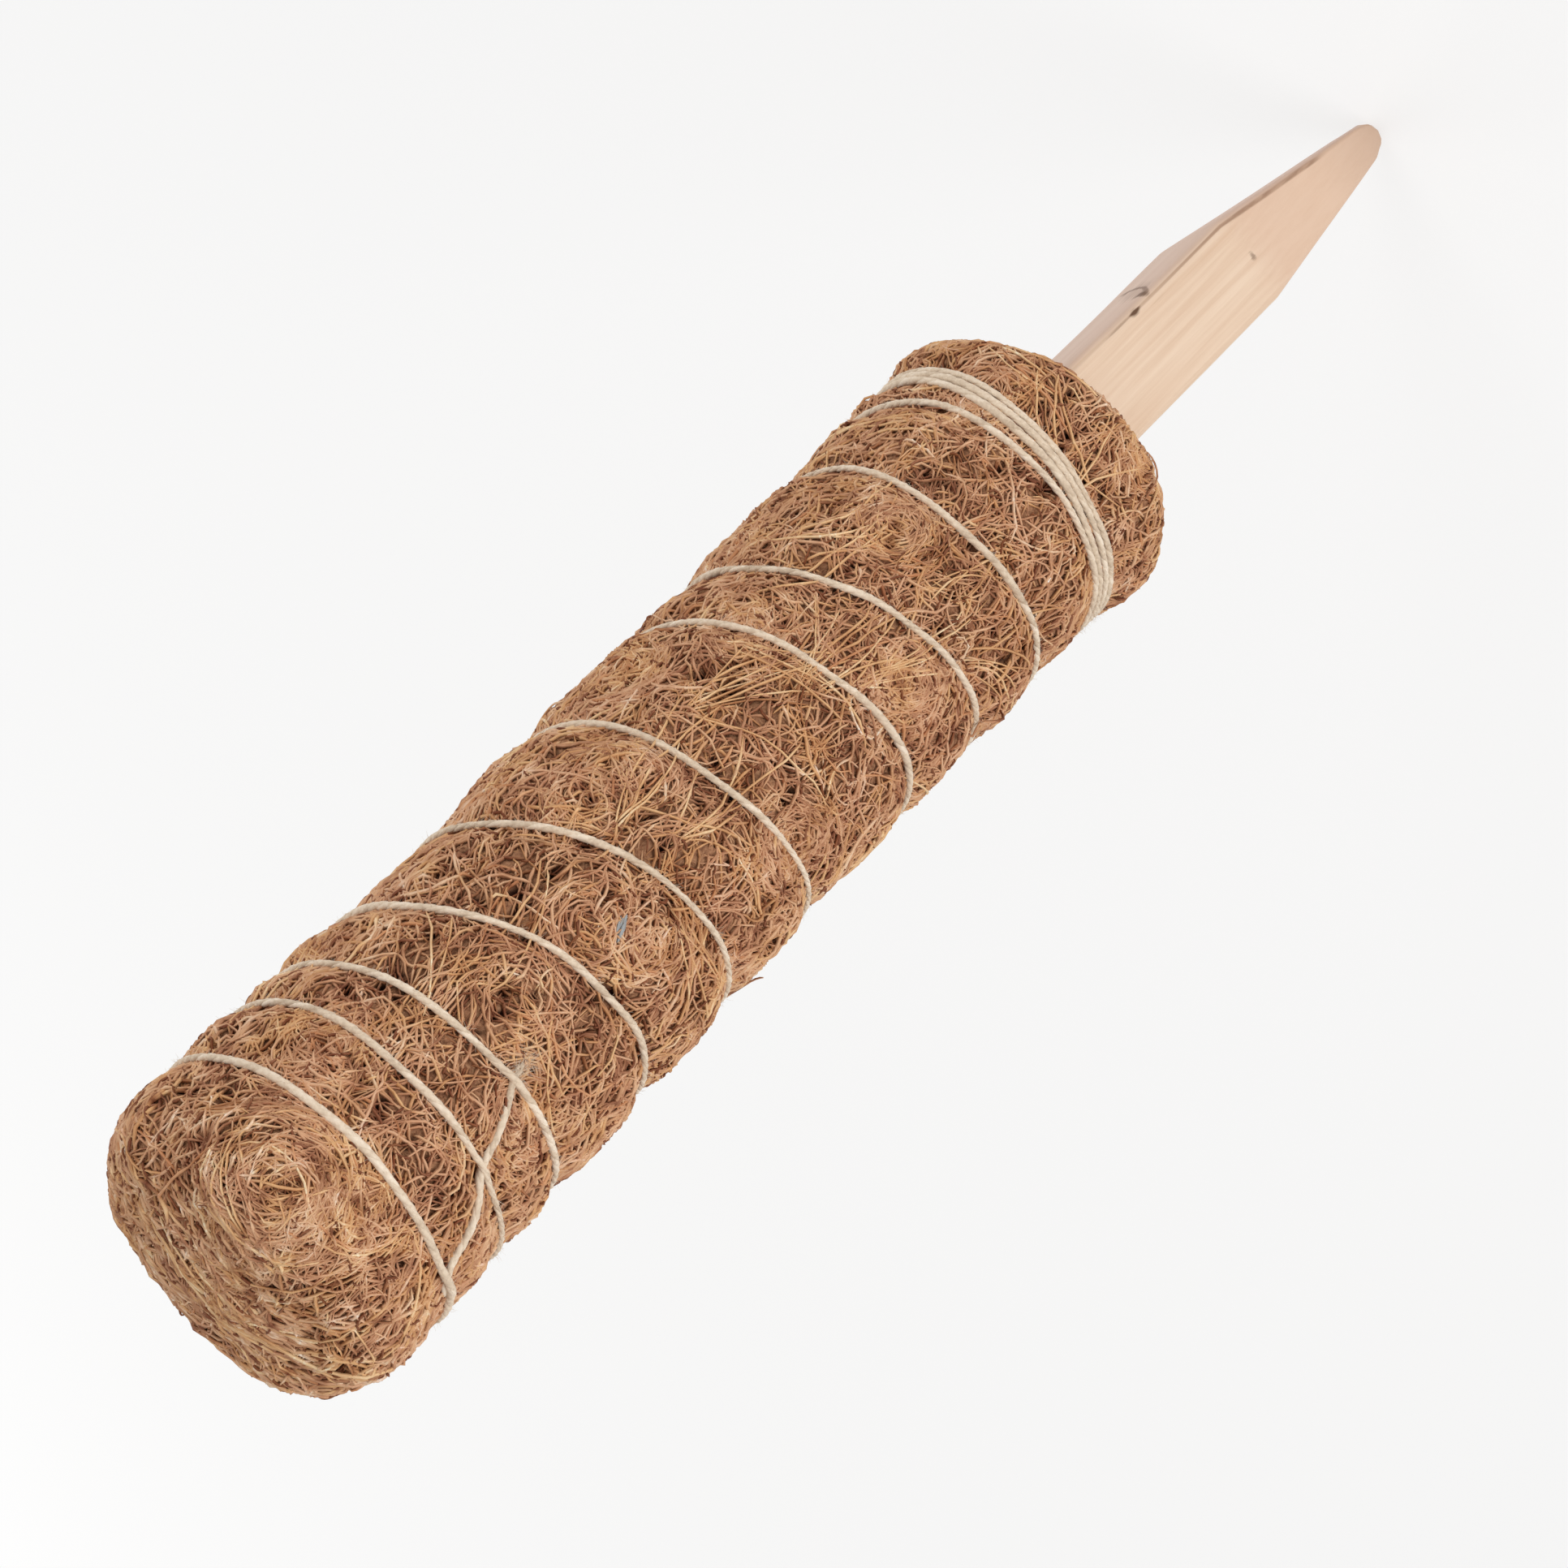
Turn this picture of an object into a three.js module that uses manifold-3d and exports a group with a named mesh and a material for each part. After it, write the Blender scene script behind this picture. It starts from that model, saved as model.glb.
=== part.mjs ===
// Moss pole: a pointed wooden stake wrapped in two layers of coir mat and bound with one length of twine.
// Millimetres, +Z up. The origin is on the stake's axis at the coir's base, where the soil comes to.
// Angles run from the -Y side towards +X, and each turn of the twine is counted from the winding's front.

import * as THREE from 'three';
import { mergeVertices } from 'three/addons/utils/BufferGeometryUtils.js';
import Module from 'manifold-3d';

// Fit
const seatGap = 0.3; // between pieces that touch

// Stake
const stakeSide = 16.6; // square section
const stakeEdgeRadius = 1.6; // sanded long edges
const stakeBelowCoir = 104; // from the coir's base down to the tip
const stakePoint = 50; // length of the taper on all four sides
const stakeTipSide = 5; // blunt end of the point
const stakeTipRadius = 1.4; // its corners
const stakeTipEase = 1.8; // rounding of the blunt end
const stakeTipShift = -2; // along X, as the point is sawn out of centre

// Outer coir mat, closed and rounded over the upper end
const coirLength = 197;
const coirBaseFlare = 2; // wider at the base than at half the length
const coirTopFlare = 1.7; // wider at the top than at half the length
const topEdgeInward = 9; // rounded upper rim, measured across the pole
const topEdgeDown = 11; // and along it
const topCrown = 1.7; // swell of the closed end
const baseEdgeInward = 4.8; // rounded lower rim, measured across the pole
const baseEdgeUp = 4.8; // and along it
const outerMatWall = 6; // where the twine draws it in
const outerMatTop = 8; // over the upper end
const cavityChamfer = 5; // inner corner under the upper rim

// Inner coir mat, bent once round the stake, and the pad over its end
const innerMatWall = 4.5; // over the stake's edges
const innerMatInset = 2; // its lower edge above the outer mat's
const innerMatSeam = 0.6; // slit where its two edges meet
const topPadSide = 3; // its straight side
const topPadEase = 2; // its lower edge

// Staples across the inner mat's seam, driven into the stake
const stapleCount = 4;
const stapleEdgeSpace = 3.2; // from the stake's edges to the legs
const stapleWire = 0.6; // thickness
const stapleWireWidth = 1.25;
const stapleBite = 5; // leg in the wood
const stapleSink = 1.2; // crown below the mat's surface
const stapleEndSpace = 25; // from the mat's ends to the first and last staple

// Twine, wound downwards by hand from the top
const twineDiameter = 1.1;
const cinchDepth = 1.6; // how far a turn draws the coir in
const bulgeSpan = 8; // free span over which the coir swells back to its full radius
const windingFront = THREE.MathUtils.degToRad(12);
const firstTurnDrop = 6; // from the upper rim's rounding down to the first turn
const turnPitches = [12.3, 10.8, 18, 19.4, 18.6, 26.1, 15.5, 19.7, 18]; // between front crossings, shared out
const sideTurn = 1 / 6; // from a front crossing to the two places beside it that have heights of their own
const turnLeads = [-0.2, -0.3, 1.8, 6.7, 7.8, 2.3, 3.8, 5.7, -0.2, 0.2]; // above a crossing, before it
const turnFalls = [0.4, 0.4, 2.3, 4.9, 5.3, 5.7, 5.4, 6.7, 3.5, 0.2]; // below a crossing, after it
const bandEntryGap = 1.4; // between the last spaced turn and the band at the base
const bandTurns = 3;
const bandGap = 0.46; // between the band's turns
const bandTilt = 3.8; // the band lies askew, this much up and down
const bandTiltFront = THREE.MathUtils.degToRad(37); // from the front to where it stands highest
const bandRise = 9.5; // from the lower rim's rounding up to the band's lowest turn
const windingStart = -0.84; // turns, counted from the first front crossing
const windingStartRise = 1.3; // above the first front crossing, clear of the turn that follows
const windingRunOut = 0.45; // turns past the last front crossing
const tailCrossGap = 0.6; // under a turn that crosses a tail
const tailBend = 4; // corner between a tail and the winding
const tailClimb = 3; // steps over which a tail comes up to the winding
const startTailTurn = 2; // the spaced turn that the first tail reaches
const startTailOverrun = 3; // past that turn
const startTailLean = 15.5; // sideways along the coir
const endTailOverrun = 5; // past the last spaced turn
const endTailLean = -4;

// Facets
const stepsPerTurn = 24;
const twineSides = 6;
const edgeSteps = 3;
const rimSteps = 4;
const bulgeShares = [1 / 3, 2 / 3]; // points between two turns
const floorShare = 1 / 4; // most of a pitch that a turn's floor takes on each side
const crownShare = 1 / 2; // ring on the closed end
const mergeDistance = 1e-4;
const slotRunOut = 0.05; // lets a slot come up into the winding's floor

// Sizes that follow from the ones above
const stakeEdgeReach = (stakeSide / 2 - stakeEdgeRadius) * Math.SQRT2 + stakeEdgeRadius;
const innerMatRadius = stakeEdgeReach + seatGap + innerMatWall;
const cavityRadius = innerMatRadius + seatGap;
const coirWaistRadius = cavityRadius + outerMatWall + cinchDepth;
const coirBaseRadius = coirWaistRadius + coirBaseFlare;
const coirTopRadius = coirWaistRadius + coirTopFlare;
const rimHeight = coirLength - topCrown - topEdgeDown;
const cavityTop = coirLength - outerMatTop;
const padTop = cavityTop - seatGap;
const padBottom = padTop - cavityChamfer - topPadSide - topPadEase;
const innerMatTop = padBottom - seatGap;
const stakeHole = stakeSide + 2 * seatGap;
const twineRadius = twineDiameter / 2;
const facetSag = coirTopRadius * (1 - Math.cos(Math.PI / stepsPerTurn));
const tailDepth = twineDiameter + tailCrossGap + facetSag;
const slotHalf = twineRadius + seatGap;
const slotReach = cinchDepth + tailDepth + twineDiameter + slotHalf; // clear of the swollen coir

const wasm = await Module();
wasm.setup();

function asSolid(geometry) {
  const plain = geometry.clone();
  plain.deleteAttribute('normal');
  plain.deleteAttribute('uv');
  const merged = mergeVertices(plain, mergeDistance);
  const vertProperties = new Float32Array(merged.attributes.position.array);
  const triVerts = new Uint32Array(merged.index.array);
  return new wasm.Manifold(new wasm.Mesh({ numProp: 3, vertProperties, triVerts }));
}

function asGeometry(solid) {
  const { vertProperties, triVerts } = solid.getMesh();
  const geometry = new THREE.BufferGeometry();
  geometry.setAttribute('position', new THREE.BufferAttribute(vertProperties, 3));
  geometry.setIndex(new THREE.BufferAttribute(triVerts, 1));
  return geometry;
}

function cut(geometry, cutters) {
  let solid = asSolid(geometry);
  for (const cutter of cutters) solid = solid.subtract(asSolid(cutter));
  return asGeometry(solid);
}

function united(lower, upper) {
  return asGeometry(asSolid(lower).add(asSolid(upper)));
}

function fromTriangles(points, triangles) {
  const geometry = new THREE.BufferGeometry().setFromPoints(points);
  geometry.setIndex(triangles);
  return geometry;
}

// A closed body through rings of equal count, each running anticlockwise about the way they advance
function loft(rings) {
  const count = rings[0].length;
  const last = (rings.length - 1) * count;
  const triangles = [];
  for (let ring = 0; ring < rings.length - 1; ring++) {
    for (let k = 0; k < count; k++) {
      const next = (k + 1) % count;
      const a = ring * count + k;
      const b = ring * count + next;
      triangles.push(a, b, a + count, b, b + count, a + count);
    }
  }
  for (let k = 1; k < count - 1; k++) {
    triangles.push(0, k + 1, k, last, last + k, last + k + 1);
  }
  return fromTriangles(rings.flat(), triangles);
}

// A section of [across, outwards] offsets carried along points that lie round the coir's axis
function sweep(points, section) {
  const rings = points.map((point, i) => {
    const before = points[Math.max(i - 1, 0)];
    const after = points[Math.min(i + 1, points.length - 1)];
    const along = after.clone().sub(before).normalize();
    const outwards = new THREE.Vector3(point.x, point.y, 0);
    outwards.addScaledVector(along, -outwards.dot(along)).normalize();
    const across = along.clone().cross(outwards);
    return section.map(([b, n]) => point.clone().addScaledVector(across, b).addScaledVector(outwards, n));
  });
  return loft(rings);
}

function arc(x, y, radius, from, to, steps) {
  return Array.from({ length: steps + 1 }, (_, k) => {
    const angle = from + ((to - from) * k) / steps;
    return new THREE.Vector2(x + radius * Math.cos(angle), y + radius * Math.sin(angle));
  });
}

function roundedSquare(side, radius) {
  const inset = side / 2 - radius;
  const quarter = Math.PI / 2;
  const corners = [[1, 1], [-1, 1], [-1, -1], [1, -1]];
  return corners.flatMap(([sx, sy], k) =>
    arc(sx * inset, sy * inset, radius, k * quarter, (k + 1) * quarter, edgeSteps));
}

// Staples: U-shaped, with the crown outwards on the +Y side
const crownHalf = stakeSide / 2 - stapleEdgeSpace;
const crownTop = innerMatRadius - stapleSink;
const legTip = stakeSide / 2 - stapleBite;
const stapleRun = innerMatTop - innerMatInset - 2 * stapleEndSpace;
const stapleHeights = Array.from({ length: stapleCount }, (_, k) =>
  innerMatInset + stapleEndSpace + (stapleRun * k) / Math.max(stapleCount - 1, 1));

function stapleShape(top, room) {
  const outer = crownHalf + room;
  const inner = crownHalf - stapleWire - room;
  const underCrown = crownTop - stapleWire - room;
  const tip = legTip - room;
  const outline = [[-outer, tip], [-inner, tip], [-inner, underCrown], [inner, underCrown],
    [inner, tip], [outer, tip], [outer, top], [-outer, top]];
  return new THREE.Shape(outline.map(([x, y]) => new THREE.Vector2(x, y)));
}

function stapleGeometry(height) {
  const geometry = new THREE.ExtrudeGeometry(stapleShape(crownTop, 0), {
    depth: stapleWireWidth, bevelEnabled: false });
  return geometry.translate(0, 0, height - stapleWireWidth / 2);
}

// The room that a staple needs in the mat and the wood, open to the mat's outside
function stapleSlot(height) {
  const depth = stapleWireWidth + 2 * seatGap;
  const geometry = new THREE.ExtrudeGeometry(stapleShape(innerMatRadius + stapleSink, seatGap), {
    depth, bevelEnabled: false });
  return geometry.translate(0, 0, height - depth / 2);
}

// Stake: the bare length below the coir, whose flat sides end there, and the length inside it with room
// for the staples' legs
function stakeGeometry() {
  const section = (z, side, radius, shift) =>
    roundedSquare(side, radius).map(({ x, y }) => new THREE.Vector3(x + shift, y, z));
  const fullSection = (z) => section(z, stakeSide, stakeEdgeRadius, 0);
  const tip = arc(0, 0, stakeTipEase, -Math.PI / 2, 0, edgeSteps).map(({ x, y }) => {
    const side = stakeTipSide - 2 * (stakeTipEase - x);
    const radius = (stakeTipRadius * side) / stakeTipSide;
    return section(stakeTipEase + y - stakeBelowCoir, side, radius, stakeTipShift);
  });
  const bare = loft([...tip, fullSection(stakePoint - stakeBelowCoir), fullSection(0)]);
  const covered = loft([fullSection(0), fullSection(innerMatTop)]);
  return united(bare, cut(covered, stapleHeights.map(stapleSlot)));
}

// Inner mat: round outside, square inside, slit on the +Y side
function innerMatGeometry() {
  const half = innerMatSeam / 2;
  const slit = Math.asin(half / innerMatRadius);
  const top = Math.PI / 2;
  const outside = arc(0, 0, innerMatRadius, top - slit, top + slit - 2 * Math.PI, 2 * stepsPerTurn);
  const hole = roundedSquare(stakeHole, stakeEdgeRadius + seatGap);
  const corner = edgeSteps + 1;
  const inside = [...hole.slice(corner), ...hole.slice(0, corner)];
  const mouth = [new THREE.Vector2(-half, stakeHole / 2), new THREE.Vector2(half, stakeHole / 2)];
  const outline = new THREE.Shape([...outside, mouth[0], ...inside, mouth[1]]);
  const geometry = new THREE.ExtrudeGeometry(outline, {
    depth: innerMatTop - innerMatInset, bevelEnabled: false });
  geometry.translate(0, 0, innerMatInset);
  return cut(geometry, stapleHeights.map(stapleSlot));
}

// Pad over the ends of the stake and the inner mat
function topPadGeometry() {
  const profile = [
    [0, padBottom],
    [innerMatRadius - topPadEase, padBottom],
    [innerMatRadius, padBottom + topPadEase],
    [innerMatRadius, padTop - cavityChamfer],
    [innerMatRadius - cavityChamfer, padTop],
    [0, padTop],
  ];
  return new THREE.LatheGeometry(profile.map(([x, y]) => new THREE.Vector2(x, y)), stepsPerTurn)
    .rotateX(Math.PI / 2);
}

// Winding: heights at the front crossings and beside them, and a smooth line through these knots
const bandPitch = twineDiameter + bandGap;
const bandTop = baseEdgeUp + bandRise + (bandTurns - 1) * bandPitch;
const firstTurn = rimHeight - firstTurnDrop;
const lastSpacedTurn = bandTop + twineDiameter + bandEntryGap;
const pitchSum = turnPitches.reduce((sum, pitch) => sum + pitch, 0);
const pitchScale = (firstTurn - lastSpacedTurn) / pitchSum;
const crossings = [firstTurn];
for (const pitch of turnPitches) crossings.push(crossings.at(-1) - pitch * pitchScale);
for (let k = 0; k < bandTurns; k++) crossings.push(bandTop - k * bandPitch);
const windingEnd = crossings.length - 1 + windingRunOut;
const windingSteps = Math.round((windingEnd - windingStart) * stepsPerTurn);
const knots = [[windingStart, firstTurn + windingStartRise]];
crossings.forEach((z, k) => {
  const spaced = k <= turnPitches.length;
  const before = spaced ? turnLeads[k] * pitchScale : bandPitch * sideTurn;
  const after = spaced ? turnFalls[k] * pitchScale : bandPitch * sideTurn;
  knots.push([k - sideTurn, z + before], [k, z], [k + sideTurn, z - after]);
});
knots.push([windingEnd, crossings.at(-1) - bandPitch * windingRunOut]);
const slopes = knots.map((_, k) => {
  const [before, after] = [knots[Math.max(k - 1, 0)], knots[Math.min(k + 1, knots.length - 1)]];
  return (after[1] - before[1]) / (after[0] - before[0]);
});

function levelHeight(turn) {
  const k = Math.min(Math.max(knots.findLastIndex(([at]) => at <= turn), 0), knots.length - 2);
  const [[start, z], [end, nextZ]] = [knots[k], knots[k + 1]];
  const span = end - start;
  const t = (turn - start) / span;
  const blend = t * t * (3 - 2 * t);
  const leave = t * (1 - t) * (1 - t) * span;
  const arrive = t * t * (t - 1) * span;
  return z + (nextZ - z) * blend + slopes[k] * leave + slopes[k + 1] * arrive;
}

// The band's tilt comes in behind the pole, over the turn that leads to it
function turnHeight(turn) {
  const last = turnPitches.length;
  const share = THREE.MathUtils.smoothstep(turn, last + sideTurn, last + 1 - sideTurn);
  const lean = Math.cos(2 * Math.PI * turn - bandTiltFront) - Math.cos(bandTiltFront);
  return levelHeight(turn) + bandTilt * share * lean;
}

// Swollen coir, narrowest at half its length
function coirRadius(z) {
  const t = z / coirLength;
  const ends = coirBaseRadius * (1 - t) * (1 - 2 * t) + coirTopRadius * t * (2 * t - 1);
  return ends + 4 * coirWaistRadius * t * (1 - t);
}

function around(radius, angle, z) {
  return new THREE.Vector3(radius * Math.sin(angle), -radius * Math.cos(angle), z);
}

const stepTurn = (i) => windingStart + i / stepsPerTurn;
const stepAngle = (i) => windingFront - 2 * Math.PI * stepTurn(i);
const twineLine = (z, lift) => coirRadius(z) - cinchDepth + seatGap + twineRadius + lift;

// A tail leaves the winding at a step, bends towards its end and lies under the turns that cross it
function tailPoints(step, wayBack, lean, rise) {
  const corner = new THREE.Vector2(0, turnHeight(stepTurn(step)));
  const run = new THREE.Vector2(lean, rise);
  const bendStart = corner.clone().add(new THREE.Vector2(wayBack * tailBend, 0));
  const bendEnd = corner.clone().addScaledVector(run.clone().normalize(), tailBend);
  const bend = new THREE.QuadraticBezierCurve(bendStart, corner, bendEnd).getPoints(rimSteps);
  const straight = new THREE.LineCurve(bendEnd, corner.clone().add(run)).getPoints(rimSteps);
  return [...bend, ...straight.slice(1)].map(({ x, y }) => {
    const radius = twineLine(y, -tailDepth);
    return around(radius, stepAngle(step) + x / radius, y);
  });
}

const startTailRise = crossings[startTailTurn] - startTailOverrun - turnHeight(windingStart);
const endTailRise = lastSpacedTurn + endTailOverrun - turnHeight(stepTurn(windingSteps));
const startTail = tailPoints(0, -1, startTailLean, startTailRise).reverse();
const endTail = tailPoints(windingSteps, 1, endTailLean, endTailRise);
const turnPoints = [];
for (let i = 1; i < windingSteps; i++) {
  const fromTail = Math.min(i, windingSteps - i) - 1;
  const lift = -tailDepth * Math.max(1 - fromTail / tailClimb, 0);
  const z = turnHeight(stepTurn(i));
  turnPoints.push(around(twineLine(z, lift), stepAngle(i), z));
}
const twinePath = [...startTail, ...turnPoints, ...endTail];

function twineGeometry() {
  const section = Array.from({ length: twineSides }, (_, k) => {
    const angle = (2 * Math.PI * k) / twineSides;
    return [twineRadius * Math.sin(angle), twineRadius * Math.cos(angle)];
  });
  return sweep(twinePath, section);
}

// Slots in the coir under the two tails, open outwards and a seat gap longer than the tails
function tailSlots() {
  const floor = slotRunOut - slotHalf;
  const section = [[-slotHalf, slotReach], [slotHalf, slotReach], [slotHalf, floor], [-slotHalf, floor]];
  const reach = startTail.length + tailClimb + 1;
  const paths = [twinePath.slice(0, reach), twinePath.slice(-reach).reverse()];
  return paths.map((path) => {
    const beyond = path[0].clone().sub(path[1]).setLength(seatGap).add(path[0]);
    return sweep([beyond, ...path], section);
  });
}

// Outer mat: a spiral strip between each turn and the next, an end cap, a rounded base and a round cavity
function outerMatGeometry() {
  const n = stepsPerTurn;
  const points = [];
  const triangles = [];
  const add = (point) => points.push(point) - 1;
  const quad = (a, b, c, d) => triangles.push(a, b, d, b, c, d);

  // One extra turn at each end runs from the winding out to a level ring, where the cinch fades
  const fade = (i) => Math.max(-i, i - windingSteps, 0) / n;
  const cinch = (i) => cinchDepth * (1 - fade(i));
  const height = (i) => {
    const z = turnHeight(stepTurn(Math.min(Math.max(i, 0), windingSteps)));
    return THREE.MathUtils.lerp(z, i < 0 ? rimHeight : baseEdgeUp, fade(i));
  };
  const floorPoint = (i, z) => around(coirRadius(z) - cinch(i), stepAngle(i), z);
  const turn = new Map();
  for (let i = -n; i <= windingSteps + n; i++) turn.set(i, add(floorPoint(i, height(i))));

  // Points down the strip from a turn to the next one, with the swollen coir between two narrow floors
  const strip = (i) => {
    const upper = height(i);
    const lower = height(i + n);
    const pitch = upper - lower;
    const floor = Math.min(slotHalf + seatGap, pitch * floorShare);
    const free = pitch - 2 * floor;
    const swell = Math.min(free / bulgeSpan, 1);
    const bulge = bulgeShares.map((share) => {
      const z = upper - floor - free * share;
      const drawn = THREE.MathUtils.lerp(cinch(i), cinch(i + n), share) * (1 - swell);
      return add(around(coirRadius(z) - drawn, stepAngle(i), z));
    });
    const under = add(floorPoint(i, upper - floor));
    const over = add(around(coirRadius(lower + floor) - cinch(i + n), stepAngle(i), lower + floor));
    return [turn.get(i), under, ...bulge, over, turn.get(i + n)];
  };
  const strips = [];
  for (let i = -n; i <= windingSteps; i++) strips.push(strip(i));
  for (let s = 0; s < strips.length - 1; s++) {
    const [left, right] = [strips[s], strips[s + 1]];
    for (let r = 0; r < left.length - 1; r++) quad(left[r], right[r], right[r + 1], left[r + 1]);
  }

  // Level rings above and below the spiral, each sharing one point with the extra turn
  const levelRing = (first, radius, z) =>
    Array.from({ length: n }, (_, k) => add(around(radius, stepAngle(first + k), z)));
  const upperRing = levelRing(-n, coirRadius(rimHeight), rimHeight);
  upperRing[0] = turn.get(-n);
  const lowerRing = levelRing(windingSteps, coirRadius(baseEdgeUp), baseEdgeUp);
  lowerRing[0] = turn.get(windingSteps + n);
  const lastStrip = strips.at(-1);
  triangles.push(upperRing[0], upperRing[1], turn.get(1 - n));
  for (let k = 1; k < n - 1; k++) {
    quad(upperRing[k], upperRing[k + 1], turn.get(k + 1 - n), turn.get(k - n));
    const i = windingSteps + k;
    quad(turn.get(i), turn.get(i + 1), lowerRing[k + 1], lowerRing[k]);
  }
  triangles.push(upperRing[n - 1], upperRing[0], turn.get(-1));
  for (let r = 0; r < lastStrip.length - 1; r++) {
    triangles.push(strips[0][r], strips[0][r + 1], turn.get(-1));
    triangles.push(lastStrip[r], turn.get(windingSteps + 1), lastStrip[r + 1]);
  }
  triangles.push(turn.get(windingSteps + 1), lowerRing[1], lowerRing[0]);
  triangles.push(turn.get(windingSteps + n - 1), lowerRing[0], lowerRing[n - 1]);

  // Rings out from a level ring to a point on the axis
  const join = (upper, lower) => {
    for (let k = 0; k < n; k++) quad(upper[k], upper[(k + 1) % n], lower[(k + 1) % n], lower[k]);
  };
  const endRadius = coirRadius(rimHeight) - topEdgeInward;
  const capRings = arc(0, 0, 1, 0, Math.PI / 2, rimSteps).slice(1).map(({ x, y }) =>
    levelRing(-n, endRadius + topEdgeInward * x, rimHeight + topEdgeDown * y));
  capRings.push(levelRing(-n, endRadius * crownShare, coirLength - topCrown * crownShare ** 2));
  let upper = upperRing;
  for (const ring of capRings) {
    join(ring, upper);
    upper = ring;
  }
  const crown = add(new THREE.Vector3(0, 0, coirLength));
  for (let k = 0; k < n; k++) triangles.push(crown, upper[(k + 1) % n], upper[k]);

  const baseRadius = coirRadius(baseEdgeUp) - baseEdgeInward;
  const baseRings = arc(0, 0, 1, 0, Math.PI / 2, edgeSteps).slice(1).map(({ x, y }) =>
    levelRing(windingSteps, baseRadius + baseEdgeInward * x, baseEdgeUp * (1 - y)));
  const cavity = [[cavityRadius, 0], [cavityRadius, cavityTop - cavityChamfer],
    [cavityRadius - cavityChamfer, cavityTop]];
  baseRings.push(...cavity.map(([radius, z]) => levelRing(windingSteps, radius, z)));
  let lower = lowerRing;
  for (const ring of baseRings) {
    join(lower, ring);
    lower = ring;
  }
  const ceiling = add(new THREE.Vector3(0, 0, cavityTop));
  for (let k = 0; k < n; k++) triangles.push(lower[k], lower[(k + 1) % n], ceiling);

  // The two rings' own first points were replaced by shared ones, so only used points are kept
  const used = [...new Set(triangles)];
  const place = new Map(used.map((index, k) => [index, k]));
  const geometry = fromTriangles(used.map((i) => points[i]), triangles.map((i) => place.get(i)));
  return cut(geometry, tailSlots());
}

// Least gap of the twine to itself, measured between points along it that are more than a bend apart
function leastTwineGap() {
  const dense = [];
  for (let i = 0; i < twinePath.length - 1; i++) {
    for (const t of [0, 0.25, 0.5, 0.75]) dense.push(twinePath[i].clone().lerp(twinePath[i + 1], t));
  }
  const run = [0];
  for (let i = 1; i < dense.length; i++) run.push(run[i - 1] + dense[i].distanceTo(dense[i - 1]));
  const apart = tailBend + 3 * twineDiameter;
  let least = Infinity;
  for (let i = 0; i < dense.length; i++) {
    for (let j = i + 1; j < dense.length; j++) {
      if (run[j] - run[i] > apart) least = Math.min(least, dense[i].distanceTo(dense[j]));
    }
  }
  return { gap: least - twineDiameter, length: run.at(-1) };
}

const twineMeasure = leastTwineGap();
console.log(`twine: least gap to itself ${twineMeasure.gap.toFixed(2)} mm`);
console.log(`twine: length ${twineMeasure.length.toFixed(0)} mm`);

function piece(name, geometry, color, roughness, metalness = 0) {
  const material = new THREE.MeshStandardMaterial({ color, roughness, metalness });
  const mesh = new THREE.Mesh(geometry, material);
  mesh.name = name;
  return mesh;
}

const mossPole = new THREE.Group();
mossPole.name = 'moss_pole';
mossPole.add(piece('stake', stakeGeometry(), 0xe3c7a2, 0.75));
mossPole.add(piece('inner_coir_mat', innerMatGeometry(), 0x7a5232, 0.95));
mossPole.add(piece('top_coir_pad', topPadGeometry(), 0x84593a, 0.95));
mossPole.add(piece('outer_coir_mat', outerMatGeometry(), 0x9a6b45, 0.95));
mossPole.add(piece('binding_twine', twineGeometry(), 0xd8c3a0, 0.9));
stapleHeights.forEach((height, k) => {
  mossPole.add(piece(`mat_staple_${k + 1}`, stapleGeometry(height), 0xb4b6b8, 0.4, 1));
});

export default mossPole;
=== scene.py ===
import math
from types import SimpleNamespace

import bpy
import numpy as np
from mathutils import Matrix, Vector


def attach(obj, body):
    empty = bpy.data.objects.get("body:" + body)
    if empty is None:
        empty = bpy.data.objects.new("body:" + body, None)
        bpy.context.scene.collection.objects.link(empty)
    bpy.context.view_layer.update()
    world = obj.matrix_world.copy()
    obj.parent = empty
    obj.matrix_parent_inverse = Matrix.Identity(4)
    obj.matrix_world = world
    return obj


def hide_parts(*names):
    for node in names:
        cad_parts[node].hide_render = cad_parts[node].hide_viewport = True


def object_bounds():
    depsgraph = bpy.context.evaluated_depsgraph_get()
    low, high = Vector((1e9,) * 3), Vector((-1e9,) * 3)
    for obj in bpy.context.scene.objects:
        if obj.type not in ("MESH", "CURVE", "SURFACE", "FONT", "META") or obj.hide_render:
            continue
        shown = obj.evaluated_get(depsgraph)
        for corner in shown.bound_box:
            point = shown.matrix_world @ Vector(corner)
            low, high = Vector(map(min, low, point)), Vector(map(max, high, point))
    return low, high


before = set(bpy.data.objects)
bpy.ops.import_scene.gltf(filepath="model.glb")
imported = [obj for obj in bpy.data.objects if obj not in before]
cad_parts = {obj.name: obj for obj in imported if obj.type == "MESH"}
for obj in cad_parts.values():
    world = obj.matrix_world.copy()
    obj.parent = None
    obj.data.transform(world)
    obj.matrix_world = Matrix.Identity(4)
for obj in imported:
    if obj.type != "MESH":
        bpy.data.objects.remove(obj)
cadLow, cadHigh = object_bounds()
scene = bpy.context.scene
scene.view_settings.view_transform = "Standard"
print("frame loaded,", len(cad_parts), "nodes")


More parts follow.
